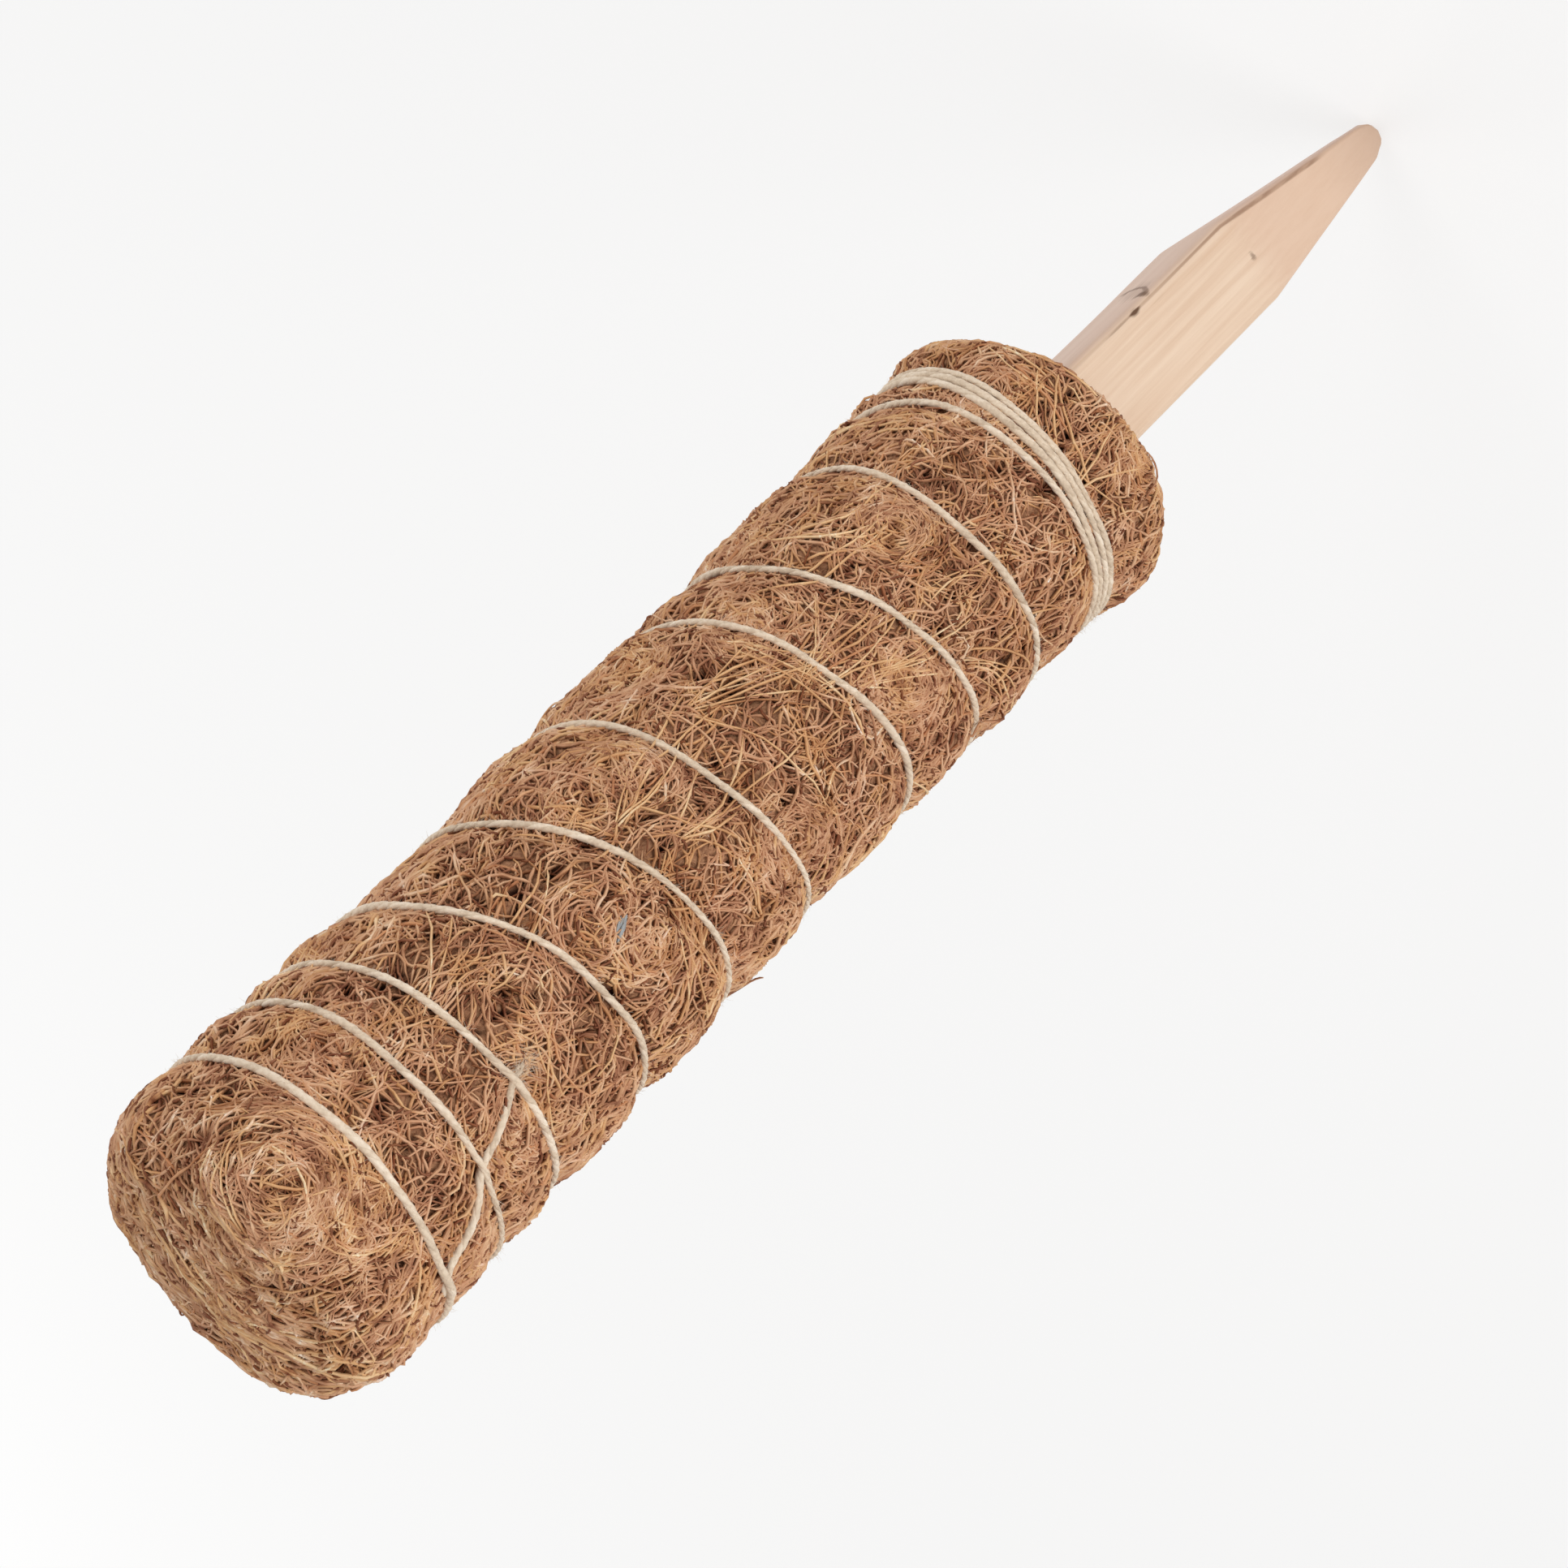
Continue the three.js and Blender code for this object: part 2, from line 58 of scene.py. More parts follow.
# A material with its shader, and short ways to add nodes to it
class finishNodes:
    def __init__(self, name, roughness, specular):
        self.material = bpy.data.materials.new(name)
        self.material.use_nodes = True
        self.nodes, self.links = self.material.node_tree.nodes, self.material.node_tree.links
        self.shader = self.nodes["Principled BSDF"]
        self.shader.inputs["Roughness"].default_value = roughness
        self.shader.inputs["Specular IOR Level"].default_value = specular

    def feed(self, socket, value):
        if isinstance(value, bpy.types.NodeSocket):
            self.links.new(value, socket)
        else:
            socket.default_value = value

    def toShader(self, name, value):
        self.links.new(value, self.shader.inputs[name])

    def place(self, stretch=(1, 1, 1), shift=(0, 0, 0)):
        coordinates = self.nodes.new("ShaderNodeTexCoord")
        mapping = self.nodes.new("ShaderNodeMapping")
        mapping.inputs["Scale"].default_value = stretch
        mapping.inputs["Location"].default_value = shift
        self.links.new(coordinates.outputs["Object"], mapping.inputs["Vector"])
        return mapping.outputs["Vector"]

    def noise(self, place, scale, detail=3, rough=0.55, distort=0.0):
        node = self.nodes.new("ShaderNodeTexNoise")
        values = dict(Scale=scale, Detail=detail, Roughness=rough, Distortion=distort)
        for name, number in values.items():
            node.inputs[name].default_value = number
        self.links.new(place, node.inputs["Vector"])
        return node.outputs["Fac"]

    def ramp(self, value, stops):
        node = self.nodes.new("ShaderNodeValToRGB")
        while len(node.color_ramp.elements) < len(stops):
            node.color_ramp.elements.new(0.5)
        for element, (place, colour) in zip(node.color_ramp.elements, stops):
            element.position = place
            element.color = (*colour, 1)
        self.links.new(value, node.inputs["Fac"])
        return node.outputs["Color"]

    def mix(self, share, first, second, kind="MIX"):
        node = self.nodes.new("ShaderNodeMix")
        node.data_type = "RGBA"
        node.blend_type = kind
        for slot, value in ((0, share), (6, first), (7, second)):
            self.feed(node.inputs[slot], (*value, 1) if isinstance(value, tuple) else value)
        return node.outputs[2]

    def maths(self, kind, first, second=0.0):
        node = self.nodes.new("ShaderNodeMath")
        node.operation = kind
        self.feed(node.inputs[0], first)
        self.feed(node.inputs[1], second)
        return node.outputs[0]

    def times(self, first, *others):
        for other in others:
            first = self.maths("MULTIPLY", first, other)
        return first

    def ease(self, value, low, high, toLow=0.0, toHigh=1.0, kind="SMOOTHSTEP"):
        node = self.nodes.new("ShaderNodeMapRange")
        node.interpolation_type = kind
        self.links.new(value, node.inputs["Value"])
        for name, number in (("From Min", low), ("From Max", high), ("To Min", toLow), ("To Max", toHigh)):
            node.inputs[name].default_value = number
        return node.outputs["Result"]

    def attribute(self, name):
        node = self.nodes.new("ShaderNodeAttribute")
        node.attribute_name = name
        return node.outputs["Fac"]

    def axes(self, place):
        node = self.nodes.new("ShaderNodeSeparateXYZ")
        self.links.new(place, node.inputs[0])
        return node.outputs

    def bump(self, height, strength, distance):
        node = self.nodes.new("ShaderNodeBump")
        node.inputs["Strength"].default_value = strength
        node.inputs["Distance"].default_value = distance
        self.links.new(height, node.inputs["Height"])
        self.toShader("Normal", node.outputs["Normal"])


# Camera at the photo's angle, rolled so that the closed end points down and left
photoView = dict(azimuth=12.0, elevation=33.2, roll=-135.82, distance=0.581, lens=93.2, sensor=36,
                 clip=(0.01, 20), towards=0.0154, side=-0.0076, height=0.0870)


def placeCamera(v):
    azimuth, elevation, roll = (math.radians(v[k]) for k in ("azimuth", "elevation", "roll"))
    towards = Vector((math.sin(azimuth), -math.cos(azimuth), 0))
    side = Vector((math.cos(azimuth), math.sin(azimuth), 0))
    back = towards * math.cos(elevation) + Vector((0, 0, math.sin(elevation)))
    level = Vector((0, 0, math.cos(elevation))) - towards * math.sin(elevation)
    right = side * math.cos(roll) + level * math.sin(roll)
    aim = towards * v["towards"] + side * v["side"] + Vector((0, 0, v["height"]))
    place = Matrix((right, back.cross(right), back)).transposed().to_4x4()
    place.translation = aim + back * v["distance"]
    data = bpy.data.cameras.new("photoCamera")
    data.lens = v["lens"]
    data.sensor_width = v["sensor"]
    data.clip_start, data.clip_end = v["clip"]
    camera = bpy.data.objects.new("photoCamera", data)
    scene.collection.objects.link(camera)
    camera.matrix_world = place
    scene.camera = camera


placeCamera(photoView)

# Studio: one soft key from the front, two soft fills and an even white surround
studio = dict(floorSize=8.0, floorDrop=0.0004, floorTone=0.9, floorRough=0.9, floorGloss=0.1, floorGlow=0.6,
              surround=0.62, surroundTint=(1, 0.99, 0.975, 1),
              lamps=[dict(name="keyLamp", at=(-0.75, -1.1, 0.42), size=0.9, watts=9.0),
                     dict(name="sideLamp", at=(1.15, -0.45, 0.3), size=0.9, watts=5.0),
                     dict(name="backLamp", at=(0.1, 1.3, 0.5), size=1.2, watts=5.0)],
              lampAim=(0, 0, 0.05))


# the white of the background is for the camera, and for rays that gloss or glass sends on
def raysThatSee(nodes, links):
    path = nodes.new("ShaderNodeLightPath")
    total = path.outputs["Is Camera Ray"]
    for name in ("Is Glossy Ray", "Is Transmission Ray"):
        more = nodes.new("ShaderNodeMath")
        more.operation = "MAXIMUM"
        links.new(total, more.inputs[0])
        links.new(path.outputs[name], more.inputs[1])
        total = more.outputs[0]
    return total


def mixBySight(nodes, links, share, first, second, output):
    mix = nodes.new("ShaderNodeMixShader")
    links.new(share, mix.inputs["Fac"])
    links.new(first.outputs[0], mix.inputs[1])
    links.new(second.outputs[0], mix.inputs[2])
    links.new(mix.outputs[0], nodes[output].inputs["Surface"])


def buildStudio(s):
    world = bpy.data.worlds.new("paleSurround")
    world.use_nodes = True
    nodes, links = world.node_tree.nodes, world.node_tree.links
    backdrop = nodes["Background"]
    backdrop.inputs["Color"].default_value = (1, 1, 1, 1)
    light = nodes.new("ShaderNodeBackground")
    light.inputs["Color"].default_value = s["surroundTint"]
    light.inputs["Strength"].default_value = s["surround"]
    mixBySight(nodes, links, raysThatSee(nodes, links), light, backdrop, "World Output")
    scene.world = world

    bpy.ops.object.select_all(action="DESELECT")
    bpy.ops.mesh.primitive_plane_add(size=s["floorSize"], location=(0, 0, cadLow.z - s["floorDrop"]))
    floor = bpy.context.object
    floor.name = "floor"
    pale = finishNodes("paleFloor", s["floorRough"], s["floorGloss"])
    pale.shader.inputs["Base Color"].default_value = (s["floorTone"],) * 3 + (1,)
    glow = pale.nodes.new("ShaderNodeEmission")
    share = pale.times(raysThatSee(pale.nodes, pale.links), s["floorGlow"])
    mixBySight(pale.nodes, pale.links, share, pale.shader, glow, "Material Output")
    floor.data.materials.append(pale.material)

    for lamp in s["lamps"]:
        data = bpy.data.lights.new(lamp["name"], "AREA")
        data.shape = "DISK"
        data.size = lamp["size"]
        data.energy = lamp["watts"]
        light = bpy.data.objects.new(lamp["name"], data)
        scene.collection.objects.link(light)
        light.location = lamp["at"]
        aim = Vector(s["lampAim"]) - Vector(lamp["at"])
        light.rotation_euler = aim.to_track_quat("-Z", "Y").to_euler()


buildStudio(studio)
print("camera and studio placed")

# Sizes of the part, and what follows from them
stakeForm = dict(side=0.0166, edge=0.0016, edgeSteps=5, low=-0.104, point=0.050,
                 runs=dict(right=0.0495, left=0.0485, front=0.048, back=0.050),  # length of each sawn side
                 tipSide=0.0050, tipEase=0.0024, tipRound=0.998, tipShift=-0.00165,
                 roundFrom=0.0012, roundTo=0.0065, bow=0.00055, bowReach=0.04, smoothBelow=35,
                 wobble=0.00007, wobbleWaves=24, wobbleSize=(0.006, 0.04), wobbleStretch=(1, 1, 0.4),
                 seed=31, loops=60, loopsFrom=0.004,
                 tipLoops=(0.00002, 0.0001, 0.00025, 0.0005, 0.0008, 0.0012, 0.0017, 0.0022,
                           0.0028, 0.0034))
matWalls = dict(seat=0.0003, inner=0.0045, outer=0.006, top=0.008, chamfer=0.005, padHeight=0.010,
                innerBase=0.002, fibreLip=(0.001, 0.0016), stakeGap=0.0005, fibreDrop=0.0003)
edgeReach = (stakeForm["side"] / 2 - stakeForm["edge"]) * math.sqrt(2) + stakeForm["edge"]
innerRadius = edgeReach + matWalls["seat"] + matWalls["inner"]
cavityRadius = innerRadius + matWalls["seat"]

# The coir's outer form: waisted, rounded at both ends, drawn in under the twine, dented here and there,
# and cut a little askew at both ends. Dents are measured on the photo's outline, a negative one swells
rightSide, leftSide = (0.0243, 0.0052), (-0.0243, -0.0052)
coirForm = dict(length=0.197, baseFlare=0.0017, topFlare=0.0017, rimInward=0.009, rimDown=0.011,
                crown=0.0017, baseInward=0.0048, baseUp=0.0048, cinch=0.0016, cinchReach=0.0029,
                slackFrom=0.15, slackTo=0.178, slack=0.5,
                baseSlope=0.05, baseReach=0.03, baseTurn=math.radians(12),
                topSlope=-0.036, topReach=0.018, topTurn=math.radians(55),
                lump=0.00035, lumpWaves=26, lumpSize=(0.009, 0.032), seed=5,
                linePoints=dict(top=30, rim=28, side=320, base=14), step=0.0006,
                dents=[dict(at=(*rightSide, 0.138), depth=0.0009, reach=0.009),
                       dict(at=(*rightSide, 0.126), depth=0.0017, reach=0.009),
                       dict(at=(*rightSide, 0.065), depth=0.0006, reach=0.006),
                       dict(at=(*rightSide, 0.168), depth=0.0007, reach=0.007),
                       dict(at=(*leftSide, 0.172), depth=0.0008, reach=0.008),
                       dict(at=(*leftSide, 0.103), depth=0.0008, reach=0.007),
                       dict(at=(*leftSide, 0.088), depth=0.0012, reach=0.006),
                       dict(at=(*leftSide, 0.054), depth=0.0011, reach=0.007),
                       dict(at=(*leftSide, 0.031), depth=0.0010, reach=0.010),
                       dict(at=(0.0035, 0.0197, 0.194), depth=0.0010, reach=0.009),
                       dict(at=(-0.0153, 0.0129, 0.194), depth=-0.0009, reach=0.008),
                       dict(at=(-0.0188, -0.0068, 0.1945), depth=0.0005, reach=0.008)])
waistRadius = cavityRadius + matWalls["outer"] + coirForm["cinch"]
cavityTop = coirForm["length"] - matWalls["top"]
padTop = cavityTop - matWalls["seat"]
padLow = padTop - matWalls["padHeight"]
innerTop = padLow - matWalls["seat"]

# One length of twine, from the top down: where each turn crosses the front, and how far it stands above
# that a sixth of a turn before and below it a sixth after (pitches, leads and falls share one scale)
twineForm = dict(radius=0.00055, seat=0.0003, front=math.radians(12), start=-0.84, startRise=0.0013,
                 runOut=0.45, firstTurn=0.1783, lastSpaced=0.0199, sideTurn=1 / 6,
                 bandTop=0.0174, bandTurns=3, bandPitch=0.0014, bandTilt=0.0038,
                 bandTiltFront=math.radians(37),
                 pitches=[12.3, 10.8, 18, 19.4, 18.6, 26.1, 15.5, 19.7, 18],
                 leads=[-0.2, -0.3, 1.8, 6.7, 7.8, 2.3, 3.8, 5.7, -0.2, 0.2],
                 falls=[0.4, 0.4, 2.3, 4.9, 5.3, 5.7, 5.4, 6.7, 3.5, 0.9],
                 startDrop=0.0016, dropFrom=-0.5, dropTo=-0.8)


def smoothShare(value, low, high):
    t = np.clip((value - low) / (high - low), 0, 1)
    return t * t * (3 - 2 * t)


def windingKnots(t):
    scale = (t["firstTurn"] - t["lastSpaced"]) / sum(t["pitches"])
    crossings = [t["firstTurn"]]
    for pitch in t["pitches"]:
        crossings.append(crossings[-1] - pitch * scale)
    crossings += [t["bandTop"] - k * t["bandPitch"] for k in range(t["bandTurns"])]
    end = len(crossings) - 1 + t["runOut"]
    level = t["bandPitch"] * t["sideTurn"]
    knots = [(t["start"], t["firstTurn"] + t["startRise"])]
    for k, z in enumerate(crossings):
        spaced = k < len(t["leads"])
        before, after = (t["leads"][k] * scale, t["falls"][k] * scale) if spaced else (level, level)
        knots += [(k - t["sideTurn"], z + before), (k, z), (k + t["sideTurn"], z - after)]
    knots.append((end, crossings[-1] - t["bandPitch"] * t["runOut"]))
    turns, heights = np.array(knots).T
    wide = np.pad(np.array(knots), ((1, 1), (0, 0)), mode="edge")
    gap = wide[2:] - wide[:-2]
    return turns, heights, gap[:, 1] / gap[:, 0], end


knotTurns, knotHeights, knotSlopes, windingEnd = windingKnots(twineForm)


def levelHeight(turn):
    k = np.clip(np.searchsorted(knotTurns, turn, side="right") - 1, 0, len(knotTurns) - 2)
    span = knotTurns[k + 1] - knotTurns[k]
    t = np.clip((turn - knotTurns[k]) / span, 0, 1)
    blend = t * t * (3 - 2 * t)
    leave, arrive = t * (1 - t) ** 2 * span, t * t * (t - 1) * span
    z = knotHeights[k] + (knotHeights[k + 1] - knotHeights[k]) * blend
    return z + knotSlopes[k] * leave + knotSlopes[k + 1] * arrive


def startShare(turn):
    return 1 - smoothShare(turn, twineForm["dropTo"], twineForm["dropFrom"])


# the band lies askew, and the winding's start is drawn in under the turn that follows it
def turnHeight(turn):
    t = twineForm
    last = len(t["pitches"])
    askew = smoothShare(turn, last + t["sideTurn"], last + 1 - t["sideTurn"])
    lean = np.cos(2 * math.pi * turn - t["bandTiltFront"]) - math.cos(t["bandTiltFront"])
    return levelHeight(turn) + t["bandTilt"] * askew * lean - t["startDrop"] * startShare(turn)


def coirRadius(z):
    t = z / coirForm["length"]
    base, top = coirForm["baseFlare"], coirForm["topFlare"]
    return waistRadius + base * (1 - t) * (1 - 2 * t) + top * t * (2 * t - 1)


# a place on the coir's plain side, from the angle off the front and the height
def onSide(angle, z, radius):
    return np.stack([radius * np.sin(angle), -radius * np.cos(angle), z], 1)


# 1 right under a turn of the twine, 0 well away from all of them
def cinchShare(angle, z):
    ahead = (twineForm["front"] - angle) / (2 * math.pi)
    free = np.ones_like(z)
    for k in range(-2, int(windingEnd) + 3):
        turn = ahead + k
        held = (turn > twineForm["start"]) & (turn < windingEnd)
        away = np.where(held, np.abs(z - turnHeight(turn)), 1.0)
        free = free * (1 - np.exp(-(away / coirForm["cinchReach"]) ** 2))
    return 1 - free


# smooth random ups and downs in space, from waves of the given sizes
def waveField(rng, count, sizes):
    way = rng.normal(size=(count, 3))
    way /= np.linalg.norm(way, axis=1)[:, None]
    way *= (2 * math.pi / rng.uniform(*sizes, count))[:, None]
    phase = rng.uniform(0, 2 * math.pi, count)
    return lambda p: np.sin(p @ way.T + phase).sum(1) / math.sqrt(count / 2)


lumps = waveField(np.random.default_rng(coirForm["seed"]), coirForm["lumpWaves"], coirForm["lumpSize"])


def outerLine(c):
    points = c["linePoints"]
    rimHeight = c["length"] - c["crown"] - c["rimDown"]
    endRadius = coirRadius(rimHeight) - c["rimInward"]
    footRadius = coirRadius(c["baseUp"]) - c["baseInward"]
    shares = np.linspace(0, 1, points["top"])[:-1]
    line = [(endRadius * s, c["length"] - c["crown"] * s * s) for s in shares]
    line += [(endRadius + c["rimInward"] * math.sin(a), rimHeight + c["rimDown"] * math.cos(a))
             for a in np.linspace(0, math.pi / 2, points["rim"])[:-1]]
    line += [(coirRadius(z), z) for z in np.linspace(rimHeight, c["baseUp"], points["side"])[:-1]]
    line += [(footRadius + c["baseInward"] * math.cos(a), c["baseUp"] * (1 - math.sin(a)))
             for a in np.linspace(0, math.pi / 2, points["base"])]
    return line


def evenly(line, step):
    line = np.array(line)
    run = np.r_[0, np.cumsum(np.linalg.norm(np.diff(line, axis=0), axis=1))]
    at = np.linspace(0, run[-1], int(run[-1] / step) + 1)
    return np.stack([np.interp(at, run, line[:, 0]), np.interp(at, run, line[:, 1])], 1)


# The fibres' own line carries on over the base and the inner mat, up to the stake
underside = [(cavityRadius, 0.0), (cavityRadius - matWalls["fibreLip"][0], matWalls["fibreLip"][1]),
             (stakeForm["side"] / 2 + matWalls["stakeGap"], matWalls["innerBase"] - matWalls["fibreDrop"])]
fibreLine = evenly(outerLine(coirForm) + underside, coirForm["step"])
lineTangent = np.gradient(fibreLine, axis=0)
lineTangent /= np.linalg.norm(lineTangent, axis=1)[:, None]
lineNormal = np.stack([-lineTangent[:, 1], lineTangent[:, 0]], 1)
lineNormal[0] = (0, 1)
batch = 4000  # points handled at once, to spare memory


# nearest place on the coir's form, and the way out of it there
def ontoForm(points):
    reach, angle = np.hypot(points[:, 0], points[:, 1]), np.arctan2(points[:, 1], points[:, 0])
    near = np.empty(len(points), int)
    for start in range(0, len(points), batch):
        part = slice(start, start + batch)
        gap = (reach[part, None] - fibreLine[None, :, 0]) ** 2
        near[part] = (gap + (points[part, 2, None] - fibreLine[None, :, 1]) ** 2).argmin(1)
    spot, tangent, tilt = fibreLine[near], lineTangent[near], lineNormal[near]
    along = (reach - spot[:, 0]) * tangent[:, 0] + (points[:, 2] - spot[:, 1]) * tangent[:, 1]
    along = np.clip(along, -coirForm["step"], coirForm["step"])
    radius = np.maximum(spot[:, 0] + tangent[:, 0] * along, 0)
    cosine, sine = np.cos(angle), np.sin(angle)
    place = np.stack([radius * cosine, radius * sine, spot[:, 1] + tangent[:, 1] * along], 1)
    return place, np.stack([tilt[:, 0] * cosine, tilt[:, 0] * sine, tilt[:, 1]], 1)


# how far the coir stands out from its plain form, and how much of that is the twine's doing
def swell(place):
    c = coirForm
    share = cinchShare(np.arctan2(place[:, 0], -place[:, 1]), place[:, 2])
    slack = c["slack"] * smoothShare(place[:, 2], c["slackFrom"], c["slackTo"])  # near the closed end
    cinch = c["cinch"] * (1 - slack)
    lift = c["lump"] * lumps(place)
    for dent in c["dents"]:
        away = ((place - dent["at"]) ** 2).sum(1) / dent["reach"] ** 2
        lift = lift - dent["depth"] * np.exp(-away)
    return -cinch * share + lift * (1 - share), share


# both ends are a little out of square
def skew(points):
    c = coirForm
    moved = points.copy()
    up, down = points[..., 2], c["length"] - points[..., 2]
    for slope, turn, fade in ((c["baseSlope"], c["baseTurn"], 1 - up / c["baseReach"]),
                              (c["topSlope"], c["topTurn"], 1 - down / c["topReach"])):
        across = points[..., 0] * math.cos(turn) + points[..., 1] * math.sin(turn)
        moved[..., 2] += slope * across * np.clip(fade, 0, 1)
    return moved


def unit(v):
    return v / np.maximum(np.linalg.norm(v, axis=-1, keepdims=True), 1e-12)


# Many round strands in one mesh: centre lines, a radius at each point and the way that counts as up.
# Each stretch of a strand has a cell of its own on the map, so that a bake keeps its colour
strandCells = dict(tall=10, left=0.06, wide=0.88, low=0.2, high=0.6,
                   caps=((0, 0.03), (-1, 0.97)), capSize=(0.02, 0.25))


def strandMesh(name, centres, radii, upwards, material, values, sides=3, cellSteps=None):
    count, length = centres.shape[:2]
    along = unit(np.gradient(centres, axis=1))
    upwards = unit(upwards - along * (upwards * along).sum(2, keepdims=True))
    across = np.cross(along, upwards)
    angles = 2 * math.pi * np.arange(sides) / sides
    ring = upwards[:, :, None] * np.cos(angles)[:, None] + across[:, :, None] * np.sin(angles)[:, None]
    verts = (centres[:, :, None] + ring * radii[:, :, None, None]).reshape(-1, 3)

    strand = np.arange(count)[:, None, None] * length * sides
    step = np.arange(length - 1)[None, :, None] * sides
    side = np.arange(sides)[None, None, :]
    nextSide = (side + 1) % sides
    quads = np.stack([strand + step + side, strand + step + nextSide,
                      strand + step + sides + nextSide, strand + step + sides + side], 3).reshape(-1, 4)
    ends = np.arange(count)[:, None] * length * sides
    caps = np.r_[ends + np.arange(sides)[None, ::-1], ends + (length - 1) * sides + np.arange(sides)[None]]
    mesh = bpy.data.meshes.new(name)
    mesh.from_pydata(verts.tolist(), [], quads.tolist() + caps.tolist())

    cells = strandCells
    cellSteps = cellSteps or length - 1
    stretch = np.arange(count * (length - 1)).reshape(count, length - 1, 1)
    cell, k = stretch // cellSteps, stretch % cellSteps
    columns = max(1, int(math.sqrt((cell.max() + 1) / cells["tall"])))
    rows = math.ceil((cell.max() + 1) / columns)
    column, row = cell % columns, cell // columns
    near, far = ((column + cells["left"] + cells["wide"] * (at / cellSteps)) / columns + 0 * side
                 for at in (k, k + 1))
    low, high = ((row + cells["low"] + cells["high"] * at / sides) / rows for at in (side, side + 1))
    wallU, wallV = np.stack([near, near, far, far], 3), np.stack([low, high, high, low], 3)
    uv = [np.stack([wallU, wallV], 4).reshape(-1, 2)]
    for at, spot in cells["caps"]:
        capU = (column[:, at] + spot + cells["capSize"][0] * np.cos(angles)[None]) / columns
        capV = (row[:, at] + 0.5 + cells["capSize"][1] * np.sin(angles)[None]) / rows
        uv.append(np.stack([capU, capV], 2).reshape(-1, 2))
    mesh.uv_layers.new(name="OFBake").data.foreach_set("uv", np.concatenate(uv).astype(np.float32).ravel())
    for key, amount in values.items():
        spread = np.broadcast_to(amount[:, :, None], (count, length, sides)).astype(np.float32).ravel()
        mesh.attributes.new(key, "FLOAT", "POINT").data.foreach_set("value", spread)
    mesh.shade_smooth()
    mesh.materials.append(material)
    return addPiece(name, mesh)


def addPiece(name, mesh):
    piece = bpy.data.objects.new(name, mesh)
    scene.collection.objects.link(piece)
    return piece


def selectOnly(piece):
    bpy.ops.object.select_all(action="DESELECT")
    piece.select_set(True)
    bpy.context.view_layer.objects.active = piece


def spunShape(name, line, steps):
    mesh = bpy.data.meshes.new(name)
    mesh.from_pydata([(r, 0, z) for r, z in line], [(k, k + 1) for k in range(len(line) - 1)], [])
    piece = addPiece(name, mesh)
    selectOnly(piece)
    bpy.ops.object.mode_set(mode="EDIT")
    bpy.ops.mesh.select_all(action="SELECT")
    bpy.ops.mesh.spin(steps=steps, angle=2 * math.pi, center=(0, 0, 0), axis=(0, 0, 1))
    bpy.ops.mesh.select_all(action="SELECT")
    bpy.ops.mesh.remove_doubles(threshold=1e-6)
    bpy.ops.mesh.normals_make_consistent(inside=False)
    bpy.ops.object.mode_set(mode="OBJECT")
    mesh.shade_smooth()
    return piece


def meshPoints(piece):
    points = np.empty(len(piece.data.vertices) * 3)
    piece.data.vertices.foreach_get("co", points)
    return points.reshape(-1, 3)


def movePoints(piece, points):
    piece.data.vertices.foreach_set("co", points.astype(np.float32).ravel())
    piece.data.update()


# Coir finishes: loose strands by tone and warmth, where tone is their own colour with painted shade by
# depth and in the holes, and the felt under them, painted near black as shade in the holes
coirLook = dict(strand=[(0.0, (0.16, 0.046, 0.019)), (0.25, (0.345, 0.150, 0.077)),
                        (0.5, (0.565, 0.302, 0.165)), (0.75, (0.69, 0.425, 0.255)),
                        (0.93, (0.79, 0.57, 0.40)), (1.0, (0.92, 0.87, 0.80))],
                hue=[(0.0, (0.38, 0.42, 0.47)), (0.05, (0.98, 0.94, 0.95)), (0.35, (1.0, 1.0, 1.0)),
                     (0.6, (1.0, 1.0, 0.96)), (0.85, (1.04, 1.03, 0.84)), (1.0, (0.93, 0.79, 0.67))],
                strandRough=0.68, strandGloss=0.22, grainScale=1500.0, grainDetail=2,
                grainSpan=(0.25, 0.75), grain=(-0.05, 0.05),
                felt=[(0.36, (0.17, 0.072, 0.038)), (0.50, (0.33, 0.16, 0.085)),
                      (0.66, (0.46, 0.245, 0.135))],
                feltRough=0.9, feltGloss=0.1, holeAndShade=(0.045, 0.015, 0.009), holeShadeFrom=0.1, holeShadeTo=0.7,
                tangle=dict(scale=620.0, detail=5, rough=0.65, distort=2.2), feltBump=0.8, feltDepth=0.0006)


def strandMaterial(c):
    m = finishNodes("coirStrand", c["strandRough"], c["strandGloss"])
    fleck = m.noise(m.place(), c["grainScale"], c["grainDetail"])
    tone = m.maths("ADD", m.attribute("tone"), m.ease(fleck, *c["grainSpan"], *c["grain"]))
    hue = m.ramp(m.attribute("warmth"), c["hue"])
    m.toShader("Base Color", m.mix(1.0, m.ramp(tone, c["strand"]), hue, "MULTIPLY"))
    return m.material


def feltMaterial(c):
    m = finishNodes("coirFelt", c["feltRough"], c["feltGloss"])
    tangle = m.noise(m.place(), **c["tangle"])
    # the felt in the holes is painted near black: painted shade, since the holes are only sunk
    holeAndShade = m.ease(m.attribute("holeAndShade"), c["holeShadeFrom"], c["holeShadeTo"])
    m.toShader("Base Color", m.mix(holeAndShade, m.ramp(tangle, c["felt"]), c["holeAndShade"]))
    m.bump(tangle, c["feltBump"], c["feltDepth"])
    return m.material


strandCoir = strandMaterial(coirLook)
feltCoir = feltMaterial(coirLook)

